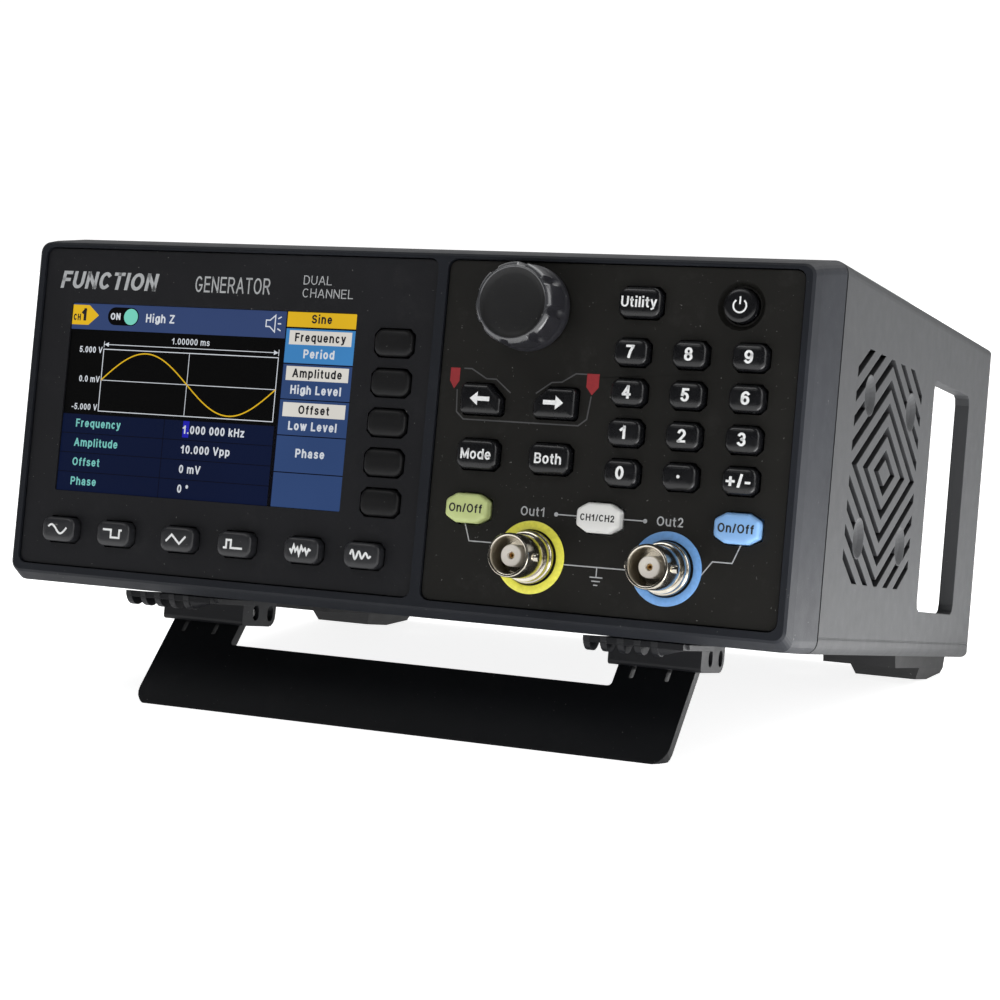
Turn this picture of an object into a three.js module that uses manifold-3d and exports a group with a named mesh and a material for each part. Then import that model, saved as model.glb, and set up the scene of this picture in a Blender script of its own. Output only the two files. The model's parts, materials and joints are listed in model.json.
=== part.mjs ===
// Bench function generator: a plastic case on a fold-out stand, with a display, a keypad,
// a rotary knob and two coaxial outputs on its front.
//
// Every piece is drawn square to the case, in millimetres: X to the right, Y from the front rim
// to the back, Z up from the underside. At the end the whole instrument is tipped back on its
// stand, so that it rests on the plane z = 0 with its front turned a little upwards.
import * as THREE from "three";
import { mergeVertices } from "three/addons/utils/BufferGeometryUtils.js";
import Module from "manifold-3d";

const wasm = await Module();
wasm.setup();

// ---- Driving dimensions ----------------------------------------------------------------------

const GAP = 0.3; // clearance between pieces that touch
const SHADOW_GAP = 0.8; // groove between the bezel and the covers

// Case
const HALF_WIDTH = 100;
const HEIGHT = 86;
const DEPTH = 174;
const EDGE_RADIUS = 3;
const REAR_RADIUS = 6;
const SIDE_WALL = 3.8;
const TOP_WALL = 3;
const FLOOR = 2.8;
const PARTING_HEIGHT = 3.6; // joint between the bottom cover and the top cover

// Bezel: a frame that grows from the front rim to the case's full size, soonest underneath
const BEZEL_DEPTH = 17.3;
const RIM_SIDE = 98;
const RIM_BOTTOM = 2;
const RIM_TOP = 82.6;
const RIM_RADIUS = 2.6;
const RIM_SOFTENING = 0.6; // the rim's outer edge is cut back this much
const BROW = { y: 4, side: 98.5, bottom: 0.15, top: 83.5 }; // where the underside levels out
const LEDGE = 2; // the panels rest on a ledge this wide
const LEDGE_BACK = 5.5;

// Front panels, set into the bezel
const PANEL_FACE = 0.7;
const PANEL_BACK = 3;
const PANEL_BOTTOM = 4.5;
const PANEL_TOP = 81.1;
const PANEL_RADIUS = 1.9;
const DISPLAY_PANEL = { left: -95.7, right: 9.7 };
const KEYPAD_PANEL = { left: 12.7, right: 95.7 };

// Display
const SCREEN = { left: -87.7, right: -9.9, bottom: 22.4, top: 68.1 };
const MODULE_MARGIN = 3.9;

// Keys
const KEY_TRAVEL = 1;
const KEY_CLEARANCE = 0.35;
const FLANGE = 0.8; // how far a key's flange reaches past its hole
const FLANGE_FRONT = PANEL_BACK + GAP;
const FLANGE_BACK = FLANGE_FRONT + 1;
const KEY_CHAMFER = 0.6;

// Stack behind the panels
const MEMBRANE = { front: FLANGE_BACK + KEY_TRAVEL + 0.6, back: 6.8 };
const KEY_BOARD = { front: 7.1, back: 8.7 };

// Knob and encoder
const KNOB = { x: 33.3, z: 70.7, skirt: 9.6, face: 9.2, dish: 7.9, back: 0.2, front: -10.3 };
const FLUTE = { count: 8, first: THREE.MathUtils.degToRad(-9), radius: 1.2, line: 9.45 };
const SHAFT_RADIUS = 3;

// Coaxial outputs
const OUTPUTS_X = 54.2; // the line that the output keys and sockets are centred on
const SOCKET_SPACING = 31.8;
const SOCKET_Z = 15.75;

// Rear
const REAR_PANEL = { front: 101.5, back: 103.5 };
const INLET = { x: -66, z: 42, halfWidth: 14, halfHeight: 24 };
const USB = { x: 18, z: 21.8 };
const REAR_SOCKET = { x: 48, z: 24 };

// Hand slot and vents in each side
const HAND_SLOT = { front: 105.5, back: 146, bottom: 11.5, top: 69.9, radius: 2.5 };
const VENT = { y: 62.7, z: 43.1, halfLength: 30.3, halfHeight: 26.7 };
const VENT_PITCH = 5.5; // between neighbouring diamond slots, measured up the side
const VENT_FIRST = 4.3; // half height of the smallest diamond
const VENT_SLOT = 2.4; // height of a slot
const VENT_SLOPE = 0.56; // rise of a slot over its run
const VENT_DEPTH = 2.8;
const DIMPLE = { y: 19.4, z: 16.3, radius: 4.6, depth: 1.9, shift: 1 };

// Feet and stand
const FRONT_FOOT = { inner: 48.2, width: 22.5, front: 28, back: 44.5, drop: 6.7, wall: 1.6 };
const RIB = { line: 11, first: 2.2, pitch: 4, halfWidth: 0.75, radius: 3.5 };
const REAR_FOOT = { width: 19.1, baseFront: 116, padFront: 143, contact: 158, heel: 12.5, base: 3.4 };
const REAR_FOOT_LEFT_EDGES = { left: -90.6, right: 74 };
const REAR_FOOT_DROP = 6.6;
const STAND_HINGE = { y: 34.5, z: -3.4 };
const STAND_TOE = { y: 16, z: -27 };
const STAND_THICKNESS = 2.6;
const STAND_BARREL = 2.4;
const PIN_RADIUS = 1;
const WINDOW_REACH = 11.4; // from the hinge to the foot of the stand's window

const TILT_SLOPE = (-REAR_FOOT_DROP - STAND_TOE.z) / (REAR_FOOT.contact - STAND_TOE.y);
const TILT = Math.atan(TILT_SLOPE);

// ---- Materials -------------------------------------------------------------------------------

const plastic = (color, roughness = 0.6) =>
  new THREE.MeshStandardMaterial({ color, roughness, metalness: 0 });
const metal = (color, roughness = 0.3) =>
  new THREE.MeshStandardMaterial({ color, roughness, metalness: 1 });

// ---- Solids ----------------------------------------------------------------------------------

// A closed geometry as a manifold solid, with its seams merged and its empty triangles dropped.
function solid(geometry) {
  const bare = geometry.clone();
  bare.deleteAttribute("normal");
  bare.deleteAttribute("uv");
  const merged = mergeVertices(bare, 1e-4);
  const corners = [];
  for (let i = 0; i < merged.index.count; i += 3) {
    const [a, b, c] = merged.index.array.slice(i, i + 3);
    if (a !== b && b !== c && a !== c) corners.push(a, b, c);
  }
  return new wasm.Manifold(
    new wasm.Mesh({
      numProp: 3,
      vertProperties: merged.attributes.position.array,
      triVerts: new Uint32Array(corners),
    }),
  );
}

const union = (first, ...others) => others.reduce((sum, next) => sum.add(next), first);
const cut = (first, ...others) => others.reduce((rest, next) => rest.subtract(next), first);

function box(x0, x1, y0, y1, z0, z1) {
  const geometry = new THREE.BoxGeometry(x1 - x0, y1 - y0, z1 - z0);
  return solid(geometry.translate((x0 + x1) / 2, (y0 + y1) / 2, (z0 + z1) / 2));
}

// Outline points run anticlockwise. A prism is an outline, with holes, pushed along one axis.
function extrude(outline, holes, depth) {
  const shape = new THREE.Shape(outline);
  for (const hole of holes) shape.holes.push(new THREE.Path(hole));
  return new THREE.ExtrudeGeometry(shape, { depth, bevelEnabled: false });
}

function prismX(outline, x0, x1, holes = []) {
  const toX = new THREE.Matrix4().set(0, 0, 1, x0, 1, 0, 0, 0, 0, 1, 0, 0, 0, 0, 0, 1);
  return solid(extrude(outline, holes, x1 - x0).applyMatrix4(toX));
}

function prismY(outline, y0, y1, holes = []) {
  return solid(extrude(outline, holes, y1 - y0).rotateX(Math.PI / 2).translate(0, y1, 0));
}

function prismZ(outline, z0, z1, holes = []) {
  return solid(extrude(outline, holes, z1 - z0).translate(0, 0, z0));
}

// A bar or pin whose axis runs along X or Y; r1 is the radius at its far end.
function barY(x, z, y0, y1, r, segments = 16, r1 = r) {
  const geometry = new THREE.CylinderGeometry(r1, r, y1 - y0, segments);
  return solid(geometry.translate(x, (y0 + y1) / 2, z));
}

function barX(y, z, x0, x1, r, segments = 16, r1 = r) {
  const geometry = new THREE.CylinderGeometry(r1, r, x1 - x0, segments);
  return solid(geometry.rotateZ(-Math.PI / 2).translate((x0 + x1) / 2, y, z));
}

function barZ(x, y, z0, z1, r, segments = 12) {
  const geometry = new THREE.CylinderGeometry(r, r, z1 - z0, segments);
  return solid(geometry.rotateX(Math.PI / 2).translate(x, y, (z0 + z1) / 2));
}

// A turned piece about the Y axis; the profile is pairs of radius and y, from the front backwards.
function turned(profile, segments) {
  const points = profile.map(([radius, y]) => new THREE.Vector2(radius, y));
  return solid(new THREE.LatheGeometry(points, segments));
}

// Layers of one convex outline, from the front backwards, joined into a closed body.
function loft(layers) {
  const count = layers[0].outline.length;
  const positions = layers.flatMap(({ y, outline }) => outline.flatMap((p) => [p.x, y, p.y]));
  const index = [];
  for (let i = 2; i < count; i++) index.push(0, i - 1, i);
  for (let layer = 0; layer + 1 < layers.length; layer++) {
    for (let i = 0; i < count; i++) {
      const a = layer * count + i;
      const b = layer * count + ((i + 1) % count);
      index.push(a, a + count, b, b, a + count, b + count);
    }
  }
  const last = (layers.length - 1) * count;
  for (let i = 2; i < count; i++) index.push(last, last + i, last + i - 1);
  const geometry = new THREE.BufferGeometry();
  geometry.setAttribute("position", new THREE.Float32BufferAttribute(positions, 3));
  return solid(geometry.setIndex(index));
}

// ---- Outlines --------------------------------------------------------------------------------

const point = (x, y) => new THREE.Vector2(x, y);

function arc(x, y, radius, from, to, steps) {
  return Array.from({ length: steps + 1 }, (_, i) => {
    const angle = from + ((to - from) * i) / steps;
    return point(x + radius * Math.cos(angle), y + radius * Math.sin(angle));
  });
}

function roundedRect(x0, x1, y0, y1, radius, steps = 2) {
  const quarter = Math.PI / 2;
  return [
    ...arc(x1 - radius, y0 + radius, radius, -quarter, 0, steps),
    ...arc(x1 - radius, y1 - radius, radius, 0, quarter, steps),
    ...arc(x0 + radius, y1 - radius, radius, quarter, 2 * quarter, steps),
    ...arc(x0 + radius, y0 + radius, radius, 2 * quarter, 3 * quarter, steps),
  ];
}

const circle = (x, y, radius, segments = 16) =>
  arc(x, y, radius, 0, 2 * Math.PI, segments).slice(0, -1);

const moved = (outline, x, y) => outline.map((p) => point(p.x + x, p.y + y));

// ---- Keys ------------------------------------------------------------------------------------

// Each key says where it is, how big its cap is, how far it stands out of the panel, its colour
// and, where it isn't a plain rounded rectangle, its outline about its own centre.
const KEY_CORNER = 1.4;

const plainOutline = (w, h) => roundedRect(-w, w, -h, h, KEY_CORNER, 1);

// One upper corner is cut away, on the side that faces the knob.
function leftArrowOutline(w, h) {
  const slant = 3.2;
  const corner = 0.7;
  return [
    point(w, -h + corner),
    point(w, h - slant),
    point(w - slant, h),
    point(-w + corner, h),
    point(-w, h - corner),
    point(-w, -h + corner),
    point(-w + corner, -h),
    point(w - corner, -h),
  ];
}

const rightArrowOutline = (w, h) => leftArrowOutline(w, h).map((p) => point(-p.x, p.y)).reverse();

// Output keys bulge at the top and bottom, like a barrel.
function barrelOutline(w, h) {
  const shoulder = h * 0.62;
  const crown = w * 0.42;
  return [
    point(w, -shoulder),
    point(w, shoulder),
    point(crown, h),
    point(-crown, h),
    point(-w, shoulder),
    point(-w, -shoulder),
    point(-crown, -h),
    point(crown, -h),
  ];
}

const DARK_KEY = 0x1c1d20;
const WAVE_KEY = 0x55565a;
const DIGIT_SIZE = { halfWidth: 3.9, halfHeight: 2.95, rise: 2.6, color: DARK_KEY };
const DIGIT_COLUMNS = [58.5, 71.9, 85.4];
const DIGIT_TOP_ROW = 62;
const DIGIT_ROW_PITCH = 8.8;
const DIGIT_NAMES = [
  ["digit_7_key", "digit_8_key", "digit_9_key"],
  ["digit_4_key", "digit_5_key", "digit_6_key"],
  ["digit_1_key", "digit_2_key", "digit_3_key"],
  ["digit_0_key", "point_key", "sign_key"],
];

function digitKeys() {
  return DIGIT_NAMES.flatMap((row, r) =>
    row.map((name, c) => ({
      name,
      x: DIGIT_COLUMNS[c],
      z: DIGIT_TOP_ROW - r * DIGIT_ROW_PITCH,
      ...DIGIT_SIZE,
    })),
  );
}

const SOFT_SIZE = { halfWidth: 4.85, halfHeight: 3.1, rise: 1.2, color: DARK_KEY };
const SOFT_TOP = 61.7;
const SOFT_PITCH = 9.12;

function softKeys() {
  return Array.from({ length: 5 }, (_, i) => ({
    name: `soft_key_${i + 1}`,
    x: 0.35,
    z: SOFT_TOP - i * SOFT_PITCH,
    ...SOFT_SIZE,
  }));
}

// The waveform keys stand in three pairs.
const WAVE_SIZE = { halfWidth: 4.5, halfHeight: 2.95, rise: 2.8, color: WAVE_KEY };
const WAVE_NAMES = ["sine_key", "square_key", "ramp_key", "pulse_key", "noise_key", "arbitrary_key"];
const WAVE_FIRST = -84;
const WAVE_PAIR_PITCH = 33.2;
const WAVE_PITCH = 15.5;

function waveKeys() {
  return WAVE_NAMES.map((name, i) => ({
    name,
    x: WAVE_FIRST + Math.floor(i / 2) * WAVE_PAIR_PITCH + (i % 2) * WAVE_PITCH,
    z: 12.95,
    ...WAVE_SIZE,
  }));
}

function menuKeys() {
  const arrow = { z: 50, halfWidth: 4.95, halfHeight: 3.4, rise: 2.4, color: DARK_KEY };
  const wide = { z: 37.65, halfWidth: 4.9, halfHeight: 3.35, rise: 2.4, color: DARK_KEY };
  return [
    { name: "left_key", x: 23.75, ...arrow, shape: leftArrowOutline },
    { name: "right_key", x: 41.5, ...arrow, shape: rightArrowOutline },
    { name: "mode_key", x: 24, ...wide },
    { name: "both_key", x: 41.4, ...wide },
    { name: "utility_key", x: 59.5, ...wide, z: 72.9 },
  ];
}

function outputKeys() {
  const barrel = { z: 25.5, halfWidth: 5.1, halfHeight: 3.3, rise: 2.4, shape: barrelOutline };
  return [
    { name: "channel_1_key", x: OUTPUTS_X - 31.5, ...barrel, color: 0xb9c97a },
    { name: "channel_select_key", x: OUTPUTS_X, ...barrel, color: 0xe8e8e6 },
    { name: "channel_2_key", x: OUTPUTS_X + 31.5, ...barrel, color: 0x6a9ad8 },
  ];
}

const POWER_DISH = 5.9; // radius of the round hollow that the power button stands in

const powerKey = {
  name: "power_button",
  x: 82,
  z: 73.1,
  halfWidth: 3.75,
  halfHeight: 3.75,
  rise: 1.2,
  color: DARK_KEY,
  shape: (w) => circle(0, 0, w),
};

const displayKeys = [...softKeys(), ...waveKeys()];
const keypadKeys = [...menuKeys(), ...digitKeys(), ...outputKeys(), powerKey];

// A key's outline about its own centre, grown on every side.
function keyOutline({ shape = plainOutline, halfWidth, halfHeight }, growth) {
  return shape(halfWidth + growth, halfHeight + growth);
}

const keyHole = (key) => moved(keyOutline(key, KEY_CLEARANCE), key.x, key.z);

// A cap about its own centre; the flange behind the panel keeps it from falling out.
function keyCap(key) {
  const front = PANEL_FACE - key.rise;
  return loft([
    { y: front, outline: keyOutline(key, -KEY_CHAMFER) },
    { y: front + KEY_CHAMFER, outline: keyOutline(key, 0) },
    { y: FLANGE_FRONT, outline: keyOutline(key, 0) },
    { y: FLANGE_FRONT, outline: keyOutline(key, FLANGE) },
    { y: FLANGE_BACK, outline: keyOutline(key, FLANGE) },
  ]);
}

// ---- Front -----------------------------------------------------------------------------------

const socketsX = [OUTPUTS_X - SOCKET_SPACING / 2, OUTPUTS_X + SOCKET_SPACING / 2];

function panelOutline({ left, right }, growth = 0) {
  return roundedRect(
    left - growth,
    right + growth,
    PANEL_BOTTOM - growth,
    PANEL_TOP + growth,
    Math.max(PANEL_RADIUS + growth, 0.5),
    4,
  );
}

function frontBezel() {
  const soft = RIM_SOFTENING;
  const rim = (inset) =>
    roundedRect(
      -RIM_SIDE + inset,
      RIM_SIDE - inset,
      RIM_BOTTOM + inset,
      RIM_TOP - inset,
      RIM_RADIUS - inset,
      6,
    );
  const body = loft([
    { y: 0, outline: rim(soft) },
    { y: soft, outline: rim(0) },
    { y: BROW.y, outline: roundedRect(-BROW.side, BROW.side, BROW.bottom, BROW.top, 2.7, 6) },
    { y: BEZEL_DEPTH, outline: roundedRect(-HALF_WIDTH, HALF_WIDTH, 0, HEIGHT, EDGE_RADIUS, 6) },
  ]);
  const pockets = [DISPLAY_PANEL, KEYPAD_PANEL].flatMap((panel) => [
    prismY(panelOutline(panel, GAP), -1, PANEL_BACK + GAP),
    prismY(panelOutline(panel, -LEDGE), PANEL_BACK, LEDGE_BACK + 1),
  ]);
  const hollow = roundedRect(-97.4, 97.4, 2.8, 83, 2);
  return cut(body, ...pockets, prismY(hollow, LEDGE_BACK, BEZEL_DEPTH + 1));
}

function displayPanel() {
  const { left, right, bottom, top } = SCREEN;
  const holes = displayKeys.map(keyHole);
  holes.push(roundedRect(left, right, bottom, top, 0.3, 1));
  return prismY(panelOutline(DISPLAY_PANEL), PANEL_FACE, PANEL_BACK, holes);
}

function keypadPanel() {
  const holes = keypadKeys.map(keyHole);
  for (const x of socketsX) holes.push(circle(x, SOCKET_Z, 5.1));
  holes.push(circle(KNOB.x, KNOB.z, 4));
  const plate = prismY(panelOutline(KEYPAD_PANEL), PANEL_FACE, PANEL_BACK, holes);
  const dish = barY(powerKey.x, powerKey.z, PANEL_FACE - 0.5, PANEL_FACE + 1, POWER_DISH, 20, 4.4);
  return cut(plate, dish);
}

const lcdWindow = () =>
  box(
    SCREEN.left + GAP,
    SCREEN.right - GAP,
    PANEL_FACE + 0.5,
    PANEL_BACK - GAP,
    SCREEN.bottom + GAP,
    SCREEN.top - GAP,
  );

function lcdModule() {
  const { left, right, bottom, top } = SCREEN;
  const m = MODULE_MARGIN;
  const tray = box(left - m, right + m - 0.5, PANEL_BACK + GAP, 9.3, bottom - m, top + m);
  return union(tray, box(left + 20, right - 20, 9, 10.8, bottom + 8, top - 8));
}

// The membrane and the board fill the space beside and under the display.
function boardOutline(inset) {
  const left = -94 + inset;
  const right = 94 - inset;
  const bottom = 7 + inset;
  const top = 79.5 - inset;
  const step = { x: -5.6 + inset, z: 17.8 - inset };
  return [
    point(left, bottom),
    point(right, bottom),
    point(right, top),
    point(step.x, top),
    point(step.x, step.z),
    point(left, step.z),
  ];
}

function keypadMembrane() {
  const holes = socketsX.map((x) => circle(x, SOCKET_Z, 5.4, 12));
  holes.push(roundedRect(KNOB.x - 6.7, KNOB.x + 6.7, KNOB.z - 6.7, KNOB.z + 6.7, 0.5, 1));
  return prismY(boardOutline(0.5), MEMBRANE.front, MEMBRANE.back, holes);
}

function keyBoard() {
  const holes = socketsX.map((x) => circle(x, SOCKET_Z, 5.4, 12));
  const board = prismY(boardOutline(0), KEY_BOARD.front, KEY_BOARD.back, holes);
  const ribbonPlug = box(50, 66, KEY_BOARD.back - 0.1, 12.5, 36, 41);
  const chip = box(24, 34, KEY_BOARD.back - 0.1, 10, 44, 54);
  return union(board, ribbonPlug, chip);
}

function encoder() {
  const { x, z } = KNOB;
  return union(
    box(x - 6.2, x + 6.2, PANEL_BACK + 0.4, MEMBRANE.back, z - 6.2, z + 6.2),
    barY(x, z, -1.6, PANEL_BACK + 1, 3.5),
    barY(x, z, -1.2, PANEL_FACE - GAP, 5, 6),
    barY(x, z, KNOB.front + 2, -1, SHAFT_RADIUS),
  );
}

// A skirted knob about its own axis: grip flutes round its side and a shallow dish in its face.
function knob() {
  const { skirt, face, dish, back, front } = KNOB;
  const body = turned(
    [
      [0, front + 0.9],
      [dish - 1, front + 0.7],
      [dish, front],
      [face - 0.5, front],
      [face, front + 0.6],
      [skirt - 0.3, back - 2.2],
      [skirt, back - 1.8],
      [skirt, back],
      [0, back],
    ],
    36,
  );
  const flutes = Array.from({ length: FLUTE.count }, (_, i) => {
    const angle = FLUTE.first + (i / FLUTE.count) * 2 * Math.PI;
    const x = FLUTE.line * Math.cos(angle);
    const z = FLUTE.line * Math.sin(angle);
    return barY(x, z, front - 1, back - 2.6, FLUTE.radius, 10);
  });
  const bore = barY(0, 0, front + 1.7, back + 1, SHAFT_RADIUS + GAP);
  return cut(body, ...flutes, bore, barY(0, 0, -2, back + 1, 6));
}

// A bayonet socket about its own axis, with its mouth towards -Y and its flange at y = 0.
function coaxialSocket() {
  const body = turned(
    [
      [0, -10.2],
      [2.4, -10.2],
      [2.4, -3.4],
      [4.05, -3.4],
      [4.05, -11.9],
      [4.85, -11.9],
      [4.85, -3],
      [5.6, -3],
      [5.6, -1.3],
      [6.5, -1.3],
      [6.5, 0],
      [4.7, 0],
      [4.7, 13],
      [0, 13],
    ],
    16,
  );
  return union(body, barX(-8.4, 0, 4.5, 5.9, 0.95, 8), barX(-8.4, 0, -5.9, -4.5, 0.95, 8));
}

// ---- Covers ----------------------------------------------------------------------------------

const COVER_FRONT = BEZEL_DEPTH + SHADOW_GAP;

// The case seen from above: square at the front, round at the two rear corners.
function planOutline(inset, front) {
  const side = HALF_WIDTH - inset;
  const back = DEPTH - inset;
  const radius = REAR_RADIUS - inset;
  return [
    point(side, front),
    ...arc(side - radius, back - radius, radius, 0, Math.PI / 2, 4),
    ...arc(-side + radius, back - radius, radius, Math.PI / 2, Math.PI, 4),
    point(-side, front),
  ];
}

const dimples = [-1, 1].flatMap((a) =>
  [-1, 1].map((b) => [VENT.y + DIMPLE.shift + a * DIMPLE.y, VENT.z + b * DIMPLE.z]),
);

// A band across one side wall, between two depths below its outer face.
function band(side, near, far) {
  return [side * (HALF_WIDTH - near), side * (HALF_WIDTH - far)].sort((a, b) => a - b);
}

// The side vents: nested diamond slots, cut off square at the edges of the vent field, that
// stop short of four round dimples.
function ventSlots(side) {
  const diamond = (halfHeight) => {
    const halfLength = halfHeight / VENT_SLOPE;
    return [
      point(VENT.y + halfLength, VENT.z),
      point(VENT.y, VENT.z + halfHeight),
      point(VENT.y - halfLength, VENT.z),
      point(VENT.y, VENT.z - halfHeight),
    ];
  };
  const [x0, x1] = band(side, -1, VENT_DEPTH);
  const farthest = VENT.halfLength * VENT_SLOPE + VENT.halfHeight - VENT_PITCH / 2;
  const rings = [];
  for (let half = VENT_FIRST; half < farthest; half += VENT_PITCH) {
    const hole = diamond(half - VENT_SLOT / 2).reverse();
    rings.push(prismX(diamond(half + VENT_SLOT / 2), x0, x1, [hole]));
  }
  const { y, z, halfLength, halfHeight } = VENT;
  const field = box(x0 - 1, x1 + 1, y - halfLength, y + halfLength, z - halfHeight, z + halfHeight);
  const spared = dimples.map(([dy, dz]) => barX(dy, dz, x0 - 1, x1 + 1, DIMPLE.radius + 0.2, 20));
  return cut(union(...rings).intersect(field), ...spared);
}

// Upright channels inside the wall open the slots that they cross.
function ventChannels(side) {
  const [x0, x1] = band(side, VENT_DEPTH - 0.3, SIDE_WALL + 1);
  const reach = VENT.halfHeight - 2;
  return [-18, 0, 18].map((offset) => {
    const y = VENT.y + offset;
    return box(x0, x1, y - 2, y + 2, VENT.z - reach, VENT.z + reach);
  });
}

// A round hollow, deepest in its middle.
function sideDimples(side) {
  const hollow = turned(
    [
      [0, -DIMPLE.depth],
      [DIMPLE.radius * 0.35, -DIMPLE.depth * 0.9],
      [DIMPLE.radius * 0.7, -DIMPLE.depth * 0.55],
      [DIMPLE.radius, 0],
      [DIMPLE.radius, 1],
      [0, 1],
    ],
    20,
  ).rotate([0, 0, side > 0 ? -90 : 90]);
  return dimples.map(([y, z]) => hollow.translate([side * HALF_WIDTH, y, z]));
}

function topCover() {
  const bottom = PARTING_HEIGHT + GAP;
  const radius = EDGE_RADIUS;
  const section = [
    point(-HALF_WIDTH, bottom),
    point(HALF_WIDTH, bottom),
    ...arc(HALF_WIDTH - radius, HEIGHT - radius, radius, 0, Math.PI / 2, 6),
    ...arc(-HALF_WIDTH + radius, HEIGHT - radius, radius, Math.PI / 2, Math.PI, 6),
  ];
  const outside = prismY(section, COVER_FRONT, DEPTH).intersect(
    prismZ(planOutline(0, COVER_FRONT), -1, HEIGHT + 1),
  );
  const ceiling = HEIGHT - TOP_WALL;
  const inside = prismZ(planOutline(SIDE_WALL, COVER_FRONT - 1), 0, ceiling);
  const half = HALF_WIDTH - REAR_RADIUS;
  const mouth = box(-half, half, DEPTH - 10, DEPTH + 1, 0, ceiling);
  const { front, back, bottom: low, top, radius: corner } = HAND_SLOT;
  const slot = prismX(roundedRect(front, back, low, top, corner), -HALF_WIDTH - 1, HALF_WIDTH + 1);
  const vents = [-1, 1].flatMap((side) => [
    ventSlots(side),
    ...ventChannels(side),
    ...sideDimples(side),
  ]);
  return cut(outside, inside, mouth, slot, ...vents);
}

const MAIN_BOARD = { left: -30, right: 90, front: 24, back: 97, height: 13 };
const SUPPLY_BOARD = { left: -92, right: -38, front: 24, back: 74, height: 13 };
const BOARD_THICKNESS = 1.6;

function bottomCover() {
  const radius = EDGE_RADIUS;
  const side = HALF_WIDTH - SIDE_WALL;
  const section = [
    ...arc(-HALF_WIDTH + radius, radius, radius, Math.PI, 1.5 * Math.PI, 6),
    ...arc(HALF_WIDTH - radius, radius, radius, 1.5 * Math.PI, 2 * Math.PI, 6),
    point(HALF_WIDTH, PARTING_HEIGHT),
    point(side, PARTING_HEIGHT),
    point(side, FLOOR),
    point(-side, FLOOR),
    point(-side, PARTING_HEIGHT),
    point(-HALF_WIDTH, PARTING_HEIGHT),
  ];
  const tray = prismY(section, COVER_FRONT, DEPTH).intersect(
    prismZ(planOutline(0, COVER_FRONT), -1, HEIGHT),
  );
  const posts = [MAIN_BOARD, SUPPLY_BOARD].flatMap(({ left, right, front, back, height }) =>
    [left + 5, right - 5].flatMap((x) =>
      [front + 5, back - 5].map((y) => barZ(x, y, FLOOR - 0.5, height - GAP, 3, 8)),
    ),
  );
  // Lips inside the side walls close the joint with the top cover.
  const lips = [-1, 1].flatMap((way) => {
    const [x0, x1] = [way * (side - GAP), way * (side - 1.5)].sort((a, b) => a - b);
    const top = PARTING_HEIGHT + 2.4;
    const ahead = box(x0, x1, COVER_FRONT + 0.5, REAR_PANEL.front - GAP, FLOOR - 0.5, top);
    return [ahead, box(x0, x1, REAR_PANEL.back + GAP, DEPTH - REAR_RADIUS, FLOOR - 0.5, top)];
  });
  return union(tray, ...posts, ...lips);
}

// ---- Inside ----------------------------------------------------------------------------------

// A board with its parts standing on it, each given as x, y, size along X, size along Y, height.
function populatedBoard({ left, right, front, back, height }, parts) {
  const top = height + BOARD_THICKNESS;
  const blocks = parts.map(([x, y, sx, sy, sz]) =>
    box(x - sx / 2, x + sx / 2, y - sy / 2, y + sy / 2, top - 0.1, top + sz),
  );
  return union(box(left, right, front, back, height, top), ...blocks);
}

const mainBoard = () =>
  populatedBoard(MAIN_BOARD, [
    [-12, 45, 22, 22, 3],
    [30, 52, 28, 28, 12], // heat sink over the converter chips
    [66, 45, 14, 20, 2.4],
    [38, 29, 26, 6, 8], // plug of the front ribbon cable
    [-14, 80, 18, 10, 9],
    [74, 74, 16, 24, 7],
  ]);

const powerSupply = () =>
  populatedBoard(SUPPLY_BOARD, [
    [-66, 42, 24, 20, 20], // transformer
    [-82, 34, 12, 12, 24],
    [-47, 40, 10, 16, 16], // heat sink
    [-54, 64, 22, 10, 9],
    [-80, 62, 14, 14, 14],
  ]);

// ---- Rear ------------------------------------------------------------------------------------

function rearPanel() {
  const side = HALF_WIDTH - SIDE_WALL - 0.5;
  const outline = roundedRect(-side, side, FLOOR + 0.5, HEIGHT - TOP_WALL - 0.5, 1, 1);
  const { x, z, halfWidth, halfHeight } = INLET;
  const holes = [
    roundedRect(x - halfWidth, x + halfWidth, z - halfHeight, z + halfHeight, 0.3, 1),
    roundedRect(USB.x - 6.4, USB.x + 6.4, USB.z - 6.1, USB.z + 6.1, 0.5, 1),
    circle(REAR_SOCKET.x, REAR_SOCKET.z, 5.1),
  ];
  return prismY(outline, REAR_PANEL.front, REAR_PANEL.back, holes);
}

// Mains inlet over-and-under a rocker switch, in one moulded body with a flange.
const FLANGE_FACE = REAR_PANEL.back + GAP + 2.4;
const ROCKER = { z: INLET.z + 12.5, halfWidth: 6.6, halfHeight: 9.6, pivotY: FLANGE_FACE - 2.2 };
const SOCKET_MOUTH = { z: INLET.z - 9.5, halfWidth: 12, halfHeight: 8, depth: 14 };

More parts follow.
